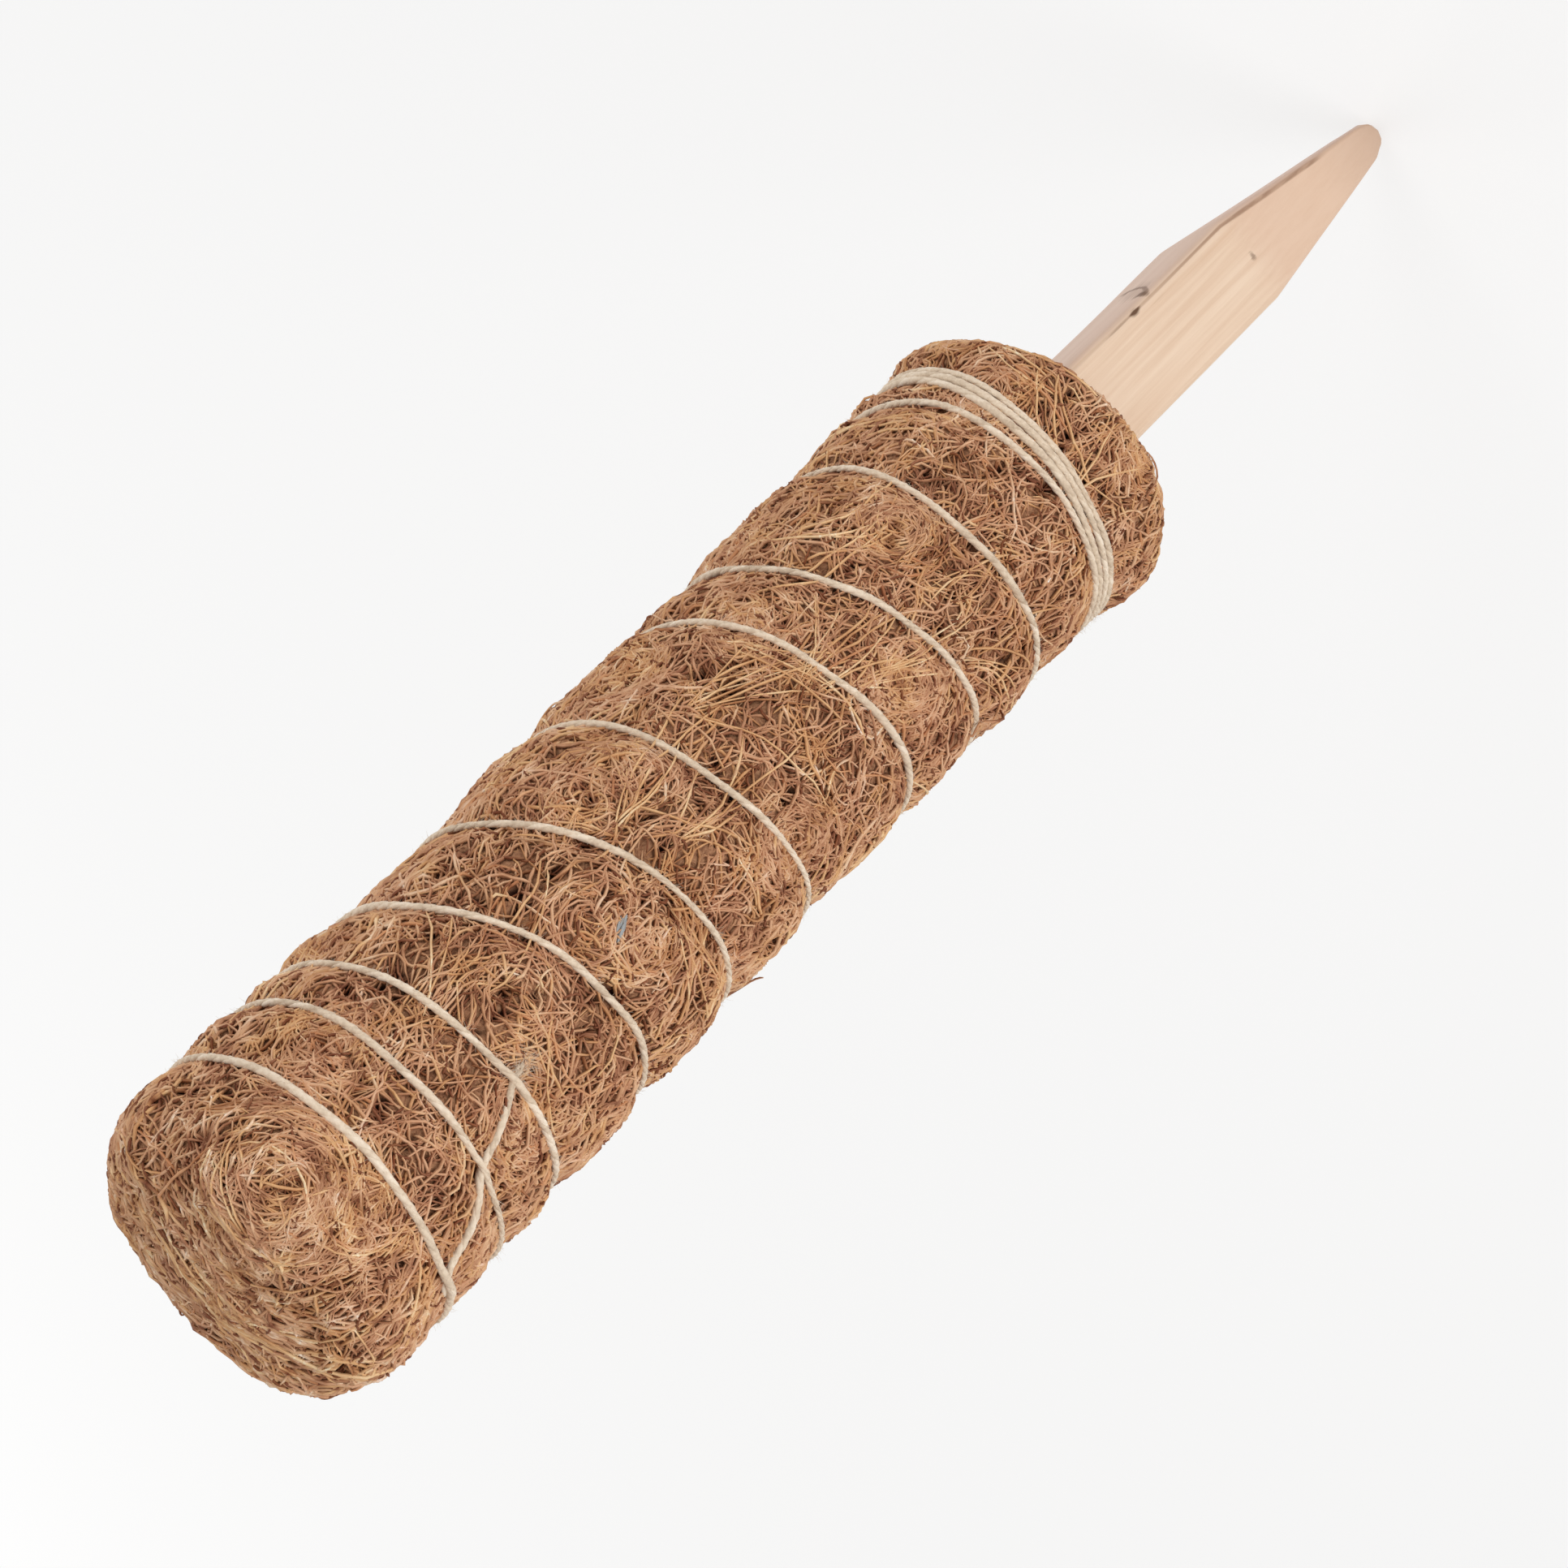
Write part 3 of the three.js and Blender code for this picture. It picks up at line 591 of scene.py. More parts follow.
# Small holes in the matting, longer one way than the other: most lie anywhere, the seen ones where the
# photo has them
coirHoles = dict(seed=41, count=700, long=(0.0007, 0.0021), wide=(0.0004, 0.0010), reach=0.006, edge=1.5,
                 spread=0.004, turnSpread=0.7, seenSize=1.1,
                 seen=[(0.0082, -0.0139, 0.197), (-0.0039, -0.0071, 0.197), (-0.0103, -0.0141, 0.1968),
                       (0.0095, -0.0229, 0.1726), (0.0057, -0.0241, 0.1726), (0.0195, -0.0152, 0.1838),
                       (0.0201, -0.0145, 0.1735), (0.0060, -0.0239, 0.1881), (0.0071, -0.0232, 0.1895),
                       (0.0153, -0.0195, 0.0849), (0.0138, -0.0200, 0.0819), (0.0164, -0.0180, 0.0871),
                       (0.0121, -0.0212, 0.0995), (0.0148, -0.0193, 0.1150), (0.0129, -0.0207, 0.1337),
                       (-0.0005, -0.0244, 0.0885), (-0.0002, -0.0244, 0.0208), (0.0030, -0.0242, 0.0104),
                       (-0.0085, -0.0228, 0.0103)])
evenSteps = (0.7548776662, 0.5698402910)  # steps that spread places evenly, along and round


def startPlaces(rng, count):
    weight = np.cumsum(np.maximum(fibreLine[:, 0], 1e-5))
    order = np.arange(count)
    along, turn = ((rng.random() + order * step) % 1 for step in evenSteps)
    reach, height = (np.interp(along, weight / weight[-1], fibreLine[:, k]) for k in (0, 1))
    angle = 2 * math.pi * turn
    return np.stack([reach * np.cos(angle), reach * np.sin(angle), height], 1)


# two ways along the surface, square to each other
def tangentFrame(normal):
    other = np.where(np.abs(normal[:, 2:]) > 0.7, (1.0, 0, 0), (0, 0, 1.0))
    first = unit(np.cross(normal, other))
    return first, np.cross(normal, first)


def holeShares(h):
    rng = np.random.default_rng(h["seed"])
    spread = np.r_[startPlaces(rng, h["count"]) + rng.normal(0, h["spread"], (h["count"], 3)), h["seen"]]
    count = len(spread)
    place, normal = ontoForm(spread)
    first, second = tangentFrame(normal)
    turn = rng.normal(math.pi / 2, h["turnSpread"], (count, 1))
    along = first * np.cos(turn) + second * np.sin(turn)
    across = np.cross(normal, along)
    size = np.where(np.arange(count) < h["count"], rng.random(count), h["seenSize"])[:, None]
    long, wide = (low + (high - low) * size for low, high in (h["long"], h["wide"]))
    axes = (along / long, across / wide, normal / h["reach"])

    def share(points):
        most = np.empty(len(points))
        for start in range(0, len(points), batch):
            part = points[start:start + batch]
            away = sum((part @ axis.T - (place * axis).sum(1)) ** 2 for axis in axes)
            most[start:start + batch] = np.exp(-away.min(1) ** h["edge"])
        return most

    return share


holeShare = holeShares(coirHoles)

# Outer mat's body, just under the fibres
coirBody = dict(inset=0.00062, step=0.0009, steps=170, holeDepth=0.0015, baseRows=5, innerRows=12,
                sideSkin=0.001, topSkin=0.002)


def buildCoirBody(b):
    line = evenly(outerLine(coirForm), b["step"]).tolist()
    line += [(r, 0.0) for r in np.linspace(line[-1][0], cavityRadius, b["baseRows"])[1:]]
    line += [(cavityRadius, z) for z in np.linspace(0, cavityTop - matWalls["chamfer"], b["innerRows"])[1:]]
    line += [(cavityRadius - matWalls["chamfer"], cavityTop), (0, cavityTop)]
    piece = spunShape("outer_coir_body", line, b["steps"])
    points = meshPoints(piece)
    outside = np.hypot(points[:, 0], points[:, 1]) > cavityRadius + b["sideSkin"]
    outside |= points[:, 2] > cavityTop + b["topSkin"]
    place, normal = ontoForm(points[outside])
    holeAndShade = np.zeros(len(points), np.float32)
    holeAndShade[outside] = holeShare(place)
    lift = swell(place)[0] - b["inset"] - b["holeDepth"] * holeAndShade[outside]
    points[outside] = place + normal * lift[:, None]
    movePoints(piece, skew(points))
    # the same hole share also paints the felt dark there: painted shade
    piece.data.attributes.new("holeAndShade", "FLOAT", "POINT").data.foreach_set("value", holeAndShade)
    piece.data.materials.append(feltCoir)
    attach(piece, "root")
    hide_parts("outer_coir_mat")


buildCoirBody(coirBody)
print("coir body shaped")

# Loose fibres of the coir, laid over the form in layers: curled strands, part of them in whorls, with long
# pale ones in bundles first in the list, and short dark bits, painted shade in the gaps and beside the
# twine, and flecks of pith last
coirFibres = dict(
    seed=11, count=21500, points=10, pieces=8,
    thin=0.00017, thick=0.00037, thickSpread=(1.6, 2.2), endThin=0.45,
    short=0.007, long=0.020, curl=95, stray=0.27, alongShare=0.7, alongSpread=0.65,
    whorls=44, whorlShare=0.28, whorlReach=(0.0020, 0.0085), whorlStray=0.24,
    whorlCurl=(0.6, 1.1), whorlRun=(1.4, 3.6), seenReach=0.009,
    seenWhorls=[(0.0027, -0.0246, 0.1462), (0.0030, -0.0246, 0.1294), (0.0158, -0.0191, 0.1147)],
    endWhorl=(0.0071, -0.0232, 0.1895), endShare=0.035, endReach=(0.003, 0.015), endFrom=0.185,
    endBlend=0.006, roundShare=0.6, roundStray=0.2, roundCurl=0.8,  # strands turned to run round a whorl
    longOnes=260, bundles=80, bundleSpread=0.0011, bundleStray=0.16, longRun=(0.012, 0.032), longCurl=45,
    longCurlSpread=12, longStray=0.1, longRadius=(0.00019, 0.00031), longWeave=0.4,
    seenBundles=[dict(at=(0.0149, -0.0193, 0.0950), way=(-0.42, -0.17, -0.89), run=0.030, strands=8),
                 dict(at=(0.0056, -0.0237, 0.0791), way=(-0.04, -0.01, -1.0), run=0.024, strands=7),
                 dict(at=(0.0101, -0.0221, 0.1160), way=(0.17, 0.09, -0.98), run=0.014, strands=4),
                 dict(at=(-0.0002, -0.0243, 0.0704), way=(-0.35, 0.03, -0.94), run=0.013, strands=4)],
    seenRun=(0.7, 1.0),
    # short dark bits: painted shade, dark dashes standing for gaps between the strands
    bits=4400, shadeDashRun=(0.0012, 0.0036), shadeDashRadius=(0.00016, 0.00027), shadeDashDive=0.3,
    # the dark bits beside the twine are painted shadow of the twine
    twineShadowDashes=650, twineShadowAside=(0.0008, 0.0026), twineShadowStray=0.3,  # those beside the twine
    pith=[dict(at=(-0.0104, -0.0224, 0.0304), bits=1, spread=0.0, run=0.0014, radius=0.0005, hue=0.4),
          dict(at=(-0.0004, -0.0248, 0.1273), bits=9, spread=0.00042, run=0.0028, radius=0.0004, hue=0.0)],
    pithWay=(0.40, 0.08, -0.91),
    loop=dict(at=(-0.0218, -0.0112, 0.0440), length=0.010, rise=0.0024, round=0.6),
    lowest=-0.00060, highest=0.00006, weave=0.00022, weaveSize=(0.0035, 0.007), endPart=0.2, dive=0.0009,
    holeDepth=0.0013, bridging=0.07, twineHold=0.5,
    strays=50, strayRise=0.0014, strayRun=0.010, strayFew=1.6, strayArched=0.55, strayRadius=0.00018,
    # where each kind lies between lowest and highest: least, and how much more
    layerSpread=(1.4, 1.2), whorlLayer=(0.35, 0.65), endLayer=(0.45, 0.6), longLayer=(0.9, 0.25),
    twineShadowLayer=(0.84, 0.28), shadeDashLayer=(0.72, 0.28),
    waves=30, patchSize=(0.004, 0.014), speckSize=(0.0015, 0.004), patch=0.07, speck=0.09, endSpeck=0.8,
    tone=0.475, depthShade=0.32, depthShadeMiddle=0.52, toneSpread=0.09, runTone=0.05, runTurn=3, runPhase=6,
    longTone=0.71, endTone=0.035, shadeDashTone=(0.03, 0.7), holeShadeTone=0.35, toneTop=0.93,
    warmth=0.45, warmthSpread=0.24, patchWarmth=0.2, longWarmth=0.8, warmthRange=(0.06, 0.9), redShare=0.05)


def layFibres(rng, lay, count):
    step = (lay.lengths / (count - 1))[:, None]
    point, way = lay.start, lay.heading
    places, normals = [], []
    for k in range(count):
        place, normal = ontoForm(point)
        way = unit(way - normal * (way * normal).sum(1, keepdims=True))
        places.append(place)
        normals.append(normal)
        turn = lay.curl[:, None] * step + rng.normal(0, lay.wander, (len(point), 1))
        way = way * np.cos(turn) + np.cross(normal, way) * np.sin(turn)
        point = place + way * step
    lay.places, lay.normals = np.stack(places, 1), np.stack(normals, 1)


# most strands lie roughly along the pole
def scatterFibres(rng, f):
    count = f["count"]
    start = startPlaces(rng, count)
    first, second = tangentFrame(ontoForm(start)[1])
    size = (count, 1)
    along = rng.normal(0, f["alongSpread"], size) + math.pi * rng.integers(0, 2, size) + math.pi / 2
    isAlong = rng.random(size) < f["alongShare"]
    turn = np.where(isAlong, along, rng.uniform(0, 2 * math.pi, size))
    heading = first * np.cos(turn) + second * np.sin(turn)
    curl = rng.normal(0, f["curl"], count)
    lengths = rng.uniform(f["short"], f["long"], count)
    return SimpleNamespace(start=start, heading=heading, curl=curl, lengths=lengths)


# whorls: strands set on arcs about a centre
def setWhorls(rng, f, lay):
    centres = startPlaces(rng, f["whorls"])
    centres[0] = f["endWhorl"]
    hands = rng.choice((-1.0, 1.0), f["whorls"])
    inWhorl = np.flatnonzero(rng.random(f["count"]) < f["whorlShare"])
    count = len(inWhorl)
    which = rng.integers(1, f["whorls"], count)
    which[rng.random(count) < f["endShare"]] = 0
    centre, normal = ontoForm(centres[which])
    first, second = tangentFrame(normal)
    reach = rng.uniform(*f["whorlReach"], count)
    endReach = np.sqrt(rng.uniform(f["endReach"][0] ** 2, f["endReach"][1] ** 2, count))
    reach = np.where(which == 0, endReach, reach)
    turn = rng.uniform(0, 2 * math.pi, (count, 1))
    outwards = first * np.cos(turn) + second * np.sin(turn)
    lay.start[inWhorl] = centre + outwards * reach[:, None]
    lean = rng.normal(0, f["whorlStray"], (count, 1))
    around = np.cross(normal, outwards) * hands[which][:, None]
    lay.heading[inWhorl] = around * np.cos(lean) + outwards * np.sin(lean)
    lay.curl[inWhorl] = hands[which] / reach * rng.uniform(*f["whorlCurl"], count)
    lay.lengths[inWhorl] = np.minimum(reach * rng.uniform(*f["whorlRun"], count), f["long"])
    lay.lengths = np.maximum(lay.lengths, f["short"])
    lay.whorled = np.zeros(f["count"], int)  # 1 in a whorl, 2 in the one at the closed end
    lay.whorled[inWhorl] = 1 + (which == 0)


# long ones lie a few together
def setBundles(rng, f, lay):
    count = f["longOnes"]
    longOnes = slice(0, count)
    lay.lengths[longOnes] = rng.uniform(*f["longRun"], count)
    bundle = rng.integers(0, f["bundles"], count)
    bundleCurl = rng.normal(0, f["longCurl"], f["bundles"])
    taken = 0
    for k, seen in enumerate(f["seenBundles"]):
        lay.start[k], lay.heading[k], bundleCurl[k] = seen["at"], seen["way"], 0
        own = slice(taken, taken + seen["strands"])
        bundle[own], lay.lengths[own] = k, seen["run"] * rng.uniform(*f["seenRun"], seen["strands"])
        taken += seen["strands"]
    lay.start[longOnes] = lay.start[bundle] + rng.normal(0, f["bundleSpread"], (count, 3))
    lay.heading[longOnes] = lay.heading[bundle] + rng.normal(0, f["bundleStray"], (count, 3))
    lay.curl[longOnes] = bundleCurl[bundle] + rng.normal(0, f["longCurlSpread"], count)


# strands near a whorl that the photo shows run round it, at the closed end the long ones too
def turnRoundWhorls(rng, f, lay):
    for k, whorl in enumerate([f["endWhorl"]] + f["seenWhorls"]):
        away = np.linalg.norm(lay.start - whorl, axis=1)
        near = away < f["seenReach"] if k else lay.start[:, 2] > f["endFrom"]
        near = np.flatnonzero(near & (np.arange(f["count"]) >= (f["longOnes"] if k else 0)))
        near = near[(near < f["longOnes"]) | (rng.random(len(near)) < f["roundShare"])]
        place, normal = ontoForm(lay.start[near])
        reach = np.maximum(np.linalg.norm(place - whorl, axis=1, keepdims=True), f["endReach"][0])
        around = np.cross(normal, place - whorl) / reach
        lay.heading[near] = around + rng.normal(0, f["roundStray"], (len(near), 3))
        lay.curl[near] = f["roundCurl"] / reach[:, 0]


# some bits lie beside the twine, where the coir is drawn in: dark dashes painted as the twine's shadow
def setShadeDashes(rng, f, lay):
    first, count = f["count"] - f["bits"], f["twineShadowDashes"]
    lay.lengths[first:] = rng.uniform(*f["shadeDashRun"], f["bits"])
    drawn = slice(first, first + count)
    turn = rng.uniform(0, windingEnd, count)
    height = turnHeight(turn) + rng.choice((-1, 1), count) * rng.uniform(*f["twineShadowAside"], count)
    angle = twineForm["front"] - 2 * math.pi * turn
    lay.start[drawn] = onSide(angle, height, coirRadius(height))
    around = np.stack([np.cos(angle), np.sin(angle), 0 * angle], 1)
    lay.heading[drawn] = around + rng.normal(0, f["twineShadowStray"], (count, 3))


# flecks of pith, each of a few bits side by side
def setPith(rng, f, lay):
    pith = [fleck for fleck in f["pith"] for _ in range(fleck["bits"])]
    lay.pith = slice(f["count"] - len(pith), f["count"])
    keys = ("radius", "hue", "run")
    lay.pithRadius, lay.pithHue, run = (np.array([fleck[key] for fleck in pith]) for key in keys)
    middle = [fleck["at"] + rng.normal(0, fleck["spread"], 3) for fleck in pith]
    lay.start[lay.pith] = middle - np.outer(run / 2, f["pithWay"])
    lay.heading[lay.pith], lay.curl[lay.pith], lay.lengths[lay.pith] = f["pithWay"], 0, run


# one loose loop stands out from the side
def setLoop(f, lay):
    lay.loop = f["longOnes"]
    lay.start[lay.loop], lay.heading[lay.loop], lay.curl[lay.loop] = f["loop"]["at"], (0, 0, 1), 0
    lay.lengths[lay.loop], lay.whorled[lay.loop] = f["loop"]["length"], 0


def fibreRise(rng, f, lay):
    count, points = lay.places.shape[:2]
    flat = lay.places.reshape(-1, 3)
    lift, share = (values.reshape(count, points) for values in swell(flat))
    bridging = (rng.random((count, 1)) <= f["bridging"]) | lay.isLong
    lay.holeAndShade = holeShare(flat).reshape(count, points) * ~bridging
    spread = rng.beta(*f["layerSpread"], (count, 1))
    kinds = ((lay.isDrawn, "twineShadowLayer"), (lay.isBit, "shadeDashLayer"), (lay.isLong, "longLayer"),
             (lay.whorled[:, None] == 1, "whorlLayer"), (lay.whorled[:, None] == 2, "endLayer"))
    layers = [f[key][0] + f[key][1] * spread for which, key in kinds]
    lay.layer = np.select([which for which, key in kinds], layers, spread)
    own = f["lowest"] + (f["highest"] - f["lowest"]) * lay.layer
    lay.t = np.linspace(0, 1, points)[None]
    waves = lay.t * lay.lengths[:, None] / rng.uniform(*f["weaveSize"], (count, 1)) + rng.random((count, 1))
    weave = f["weave"] * np.sin(2 * math.pi * waves) * np.where(lay.isLong, f["longWeave"], 1)
    lay.ends = np.clip(1 - np.minimum(lay.t, 1 - lay.t) / f["endPart"], 0, 1) ** 2
    dive = f["dive"] * lay.ends * np.where(lay.isBit, f["shadeDashDive"], 1)
    rise = own + weave - dive - f["holeDepth"] * lay.holeAndShade
    # a few short strands stand off, arched or by one end
    free = np.flatnonzero((lay.lengths < f["strayRun"]) & ~lay.isBit[:, 0] & ~lay.isLong[:, 0])
    lay.stray = np.zeros((count, 1), bool)
    lay.stray[rng.choice(free, f["strays"], replace=False)] = True
    loose = f["strayRise"] * rng.random((count, 1)) ** f["strayFew"]
    loose = loose * np.where(rng.random((count, 1)) < f["strayArched"], np.sin(math.pi * lay.t), lay.t ** 2)
    rise = np.where(lay.stray, np.maximum(own, 0) + loose, rise)
    arch = np.sin(math.pi * lay.t[0]) ** f["loop"]["round"]
    rise[lay.loop] = f["loop"]["rise"] * arch - f["dive"] * lay.ends[0]
    rise = rise * np.where(rise > 0, 1 - f["twineHold"] * share, 1)
    return skew(lay.places + lay.normals * (lift + rise)[:, :, None])


def fibreRadii(rng, f, lay):
    size = (f["count"], 1)
    thickness = f["thin"] + (f["thick"] - f["thin"]) * rng.beta(*f["thickSpread"], size)
    thickness = np.where(lay.isLong, rng.uniform(*f["longRadius"], size), thickness)
    thickness = np.where(lay.isBit, rng.uniform(*f["shadeDashRadius"], size), thickness)
    thickness[lay.pith, 0] = lay.pithRadius
    thickness = np.where(lay.stray, np.minimum(thickness, f["strayRadius"]), thickness)
    return thickness * (1 - f["endThin"] * lay.ends)


def fibreTones(rng, f, lay):
    count, points = lay.places.shape[:2]
    size = (count, 1)
    patch, speck, hue = (waveField(rng, f["waves"], sizes)(lay.places.reshape(-1, 3)).reshape(count, points)
                         for sizes in (f["patchSize"], f["speckSize"], f["patchSize"]))
    own = rng.normal(0, f["toneSpread"], size)
    # lower strands are painted darker: painted shade under the strands above
    tone = f["tone"] + f["depthShade"] * (lay.layer - f["depthShadeMiddle"]) + own
    tone = tone + f["runTone"] * np.sin(f["runTurn"] * lay.t + rng.uniform(0, f["runPhase"], size))
    tone = np.where(lay.isLong, f["longTone"] + own, tone)
    # strands in the holes are painted darker: painted shade
    tone = tone + f["patch"] * patch - f["holeShadeTone"] * lay.holeAndShade
    onEnd = smoothShare(lay.places[:, :, 2], f["endFrom"] - f["endBlend"], f["endFrom"])
    tone = tone + f["speck"] * (1 + f["endSpeck"] * onEnd) * speck + f["endTone"] * onEnd
    # the short bits take a near-black tone: painted shade standing for gaps
    dashShade = f["shadeDashTone"][0] + f["shadeDashTone"][1] * np.abs(own)
    tone = np.where(lay.isBit, dashShade, np.clip(tone, 0, f["toneTop"]))
    tone[lay.pith] = 1.0
    warmth = f["warmth"] + rng.normal(0, f["warmthSpread"], size) + f["patchWarmth"] * hue
    warmth = np.where(lay.isLong, f["longWarmth"], np.clip(warmth, *f["warmthRange"]))
    warmth = np.where(rng.random(size) < f["redShare"], 1.0, warmth)
    warmth[lay.pith] = lay.pithHue[:, None]
    return tone, warmth


def buildFibres(f):
    rng = np.random.default_rng(f["seed"])
    lay = scatterFibres(rng, f)
    setWhorls(rng, f, lay)
    setBundles(rng, f, lay)
    turnRoundWhorls(rng, f, lay)
    setShadeDashes(rng, f, lay)
    setPith(rng, f, lay)
    order = np.arange(f["count"])[:, None]
    firstShadeDash = f["count"] - f["bits"]
    lay.isLong, lay.isBit = order < f["longOnes"], order >= firstShadeDash
    lay.isDrawn = lay.isBit & (order < firstShadeDash + f["twineShadowDashes"])
    lay.whorled[(lay.isLong | lay.isBit)[:, 0]] = 0
    setLoop(f, lay)
    lay.wander = np.where(lay.isLong, f["longStray"], f["stray"])
    lay.wander[lay.pith] = 0
    layFibres(rng, lay, f["points"])
    centres = fibreRise(rng, f, lay)
    radii = fibreRadii(rng, f, lay)
    tone, warmth = fibreTones(rng, f, lay)
    for k in range(f["pieces"]):
        part = slice(k, None, f["pieces"])
        piece = strandMesh(f"coir_fibres_{k + 1}", centres[part], radii[part], lay.normals[part],
                           strandCoir, dict(tone=tone[part], warmth=warmth[part]))
        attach(piece, "root")


buildFibres(coirFibres)
print("coir fibres laid")

# Twine: three twisted plies along the winding, both ends tucked under the turns, and fine hairs all along
twineLook = dict(plies=3, plyRadius=0.00044, plyOffset=0.00016, twist=0.0060, pace=0.00045, sides=6,
                 cellSteps=80, bandSwell=0.1, bandRun=(0.56, 0.52), sink=0.00055, smooth=7, seed=23,
                 wander=0.00012, wanderWaves=18, wanderSize=(0.009, 0.03), windingPoints=4000,
                 bend=0.004, bendPoints=24, tailPoints=60, tailRise=-0.0002, startSink=0.0009,
                 startLean=0.0155, startRise=-0.0274, startBow=0.002, endLean=-0.004, endRise=0.0165,
                 hump=0.0007, humpReach=0.0014, startClear=0.05, endClear=0.06,
                 fray=0.004, fraySpread=2.2, frayThin=0.7, endSink=0.0007,
                 tone=0.5, toneSpread=0.13, toneWaves=20, toneSize=(0.004, 0.05),
                 uneven=0.12, unevenWaves=12, unevenSize=(0.012, 0.05), rough=0.06,
                 hairs=7000, hairShort=0.0005, hairLong=0.0014, hairRadius=0.00002,
                 hairTaper=(1.15, 0.7), hairPoints=4, hairFoot=0.00038, hairOut=0.8, hairLean=1.3,
                 hairBow=0.35, hairTone=0.6, hairToneSpread=0.15, frayHairs=300, frayLonger=2,
                 yarn=[(0.0, (0.44, 0.33, 0.23)), (0.5, (0.68, 0.55, 0.415)), (1.0, (0.86, 0.75, 0.62))],
                 yarnRough=0.85, yarnGloss=0.15, yarnSheen=0.15, fleckScale=1800.0,
                 fleckSpan=(0.25, 0.75), fleck=(-0.16, 0.16))


def tailLine(w, turn, wayBack, lean, rise, bow=0.0):
    corner = np.array((0.0, float(turnHeight(np.array(turn)))))
    run = np.array((lean, rise))
    before = corner + (wayBack * w["bend"], 0)
    after = corner + run / np.linalg.norm(run) * w["bend"]
    t = np.linspace(0, 1, w["bendPoints"])[:, None]
    curve = before * (1 - t) ** 2 + corner * 2 * t * (1 - t) + after * t ** 2
    t = np.linspace(0, 1, w["tailPoints"])[1:, None]
    straight = after + (corner + run - after) * t + (bow, 0) * np.sin(math.pi * t)
    line = np.r_[curve, straight]
    angle = twineForm["front"] - 2 * math.pi * turn + line[:, 0] / coirRadius(line[:, 1])
    return np.stack([angle, line[:, 1]], 1)


# how loose the plies are, towards both ends
def looseShare(at, w):
    return np.clip(1 - np.minimum(at, at[-1] - at) / w["fray"], 0, 1)


def onLine(at):
    return np.stack([at, np.zeros_like(at), np.zeros_like(at)], 1)


def twinePath(w):
    t = twineForm
    skip = w["bend"] / (2 * math.pi * coirRadius(t["firstTurn"]))
    turns = np.linspace(t["start"] + skip, windingEnd - skip, w["windingPoints"])
    startTail = tailLine(w, t["start"], -1, w["startLean"], w["startRise"], w["startBow"])[::-1]
    endTail = tailLine(w, windingEnd, 1, w["endLean"], w["endRise"])
    winding = np.stack([t["front"] - 2 * math.pi * turns, turnHeight(turns)], 1)[1:-1]
    flat = np.r_[startTail, winding, endTail]
    onTail = np.r_[np.ones(len(startTail)), np.zeros(len(winding)), np.ones(len(endTail))]
    under = np.r_[np.zeros(len(startTail)), startShare(turns)[1:-1], np.zeros(len(endTail))]
    arc = np.stack([flat[:, 0] * coirRadius(flat[:, 1]), flat[:, 1]], 1)
    run = np.r_[0, np.cumsum(np.linalg.norm(np.diff(arc, axis=0), axis=1))]
    at = np.arange(0, run[-1], w["pace"])
    lines = (flat[:, 0], flat[:, 1], onTail, under)
    angle, z, onTail, under = (np.interp(at, run, values) for values in lines)
    drift = waveField(np.random.default_rng(w["seed"]), w["wanderWaves"], w["wanderSize"])
    z = z + w["wander"] * drift(onLine(at)) * (1 - onTail)
    spot = onSide(angle, z, coirRadius(z))
    # the turns ride over the tails
    hump = np.zeros_like(at)
    for tail, own in ((startTail, at < w["startClear"]), (endTail, at > at[-1] - w["endClear"])):
        line = onSide(tail[:, 0], tail[:, 1], coirRadius(tail[:, 1]))
        gap = np.full(len(at), 1.0)
        for k in range(0, len(at), batch):
            gap[k:k + batch] = np.linalg.norm(spot[k:k + batch, None] - line[None], axis=2).min(1)
        hump = np.maximum(hump, np.where(own, 0, np.exp(-(gap / w["humpReach"]) ** 2)))
    rise = t["seat"] + t["radius"] - w["sink"] + w["hump"] * hump
    rise = rise + w["tailRise"] * onTail - w["startSink"] * under
    reach = coirRadius(z) + swell(spot)[0] + (rise - w["endSink"] * looseShare(at, w))
    reach = np.pad(reach, w["smooth"] // 2, mode="edge")
    return onSide(angle, z, np.convolve(reach, np.ones(w["smooth"]) / w["smooth"], mode="valid")), at


def yarnMaterial(w):
    m = finishNodes("cottonYarn", w["yarnRough"], w["yarnGloss"])
    fleck = m.noise(m.place(), w["fleckScale"])
    tone = m.maths("ADD", m.attribute("tone"), m.ease(fleck, *w["fleckSpan"], *w["fleck"]))
    m.toShader("Base Color", m.ramp(tone, w["yarn"]))
    m.shader.inputs["Sheen Weight"].default_value = w["yarnSheen"]
    return m.material


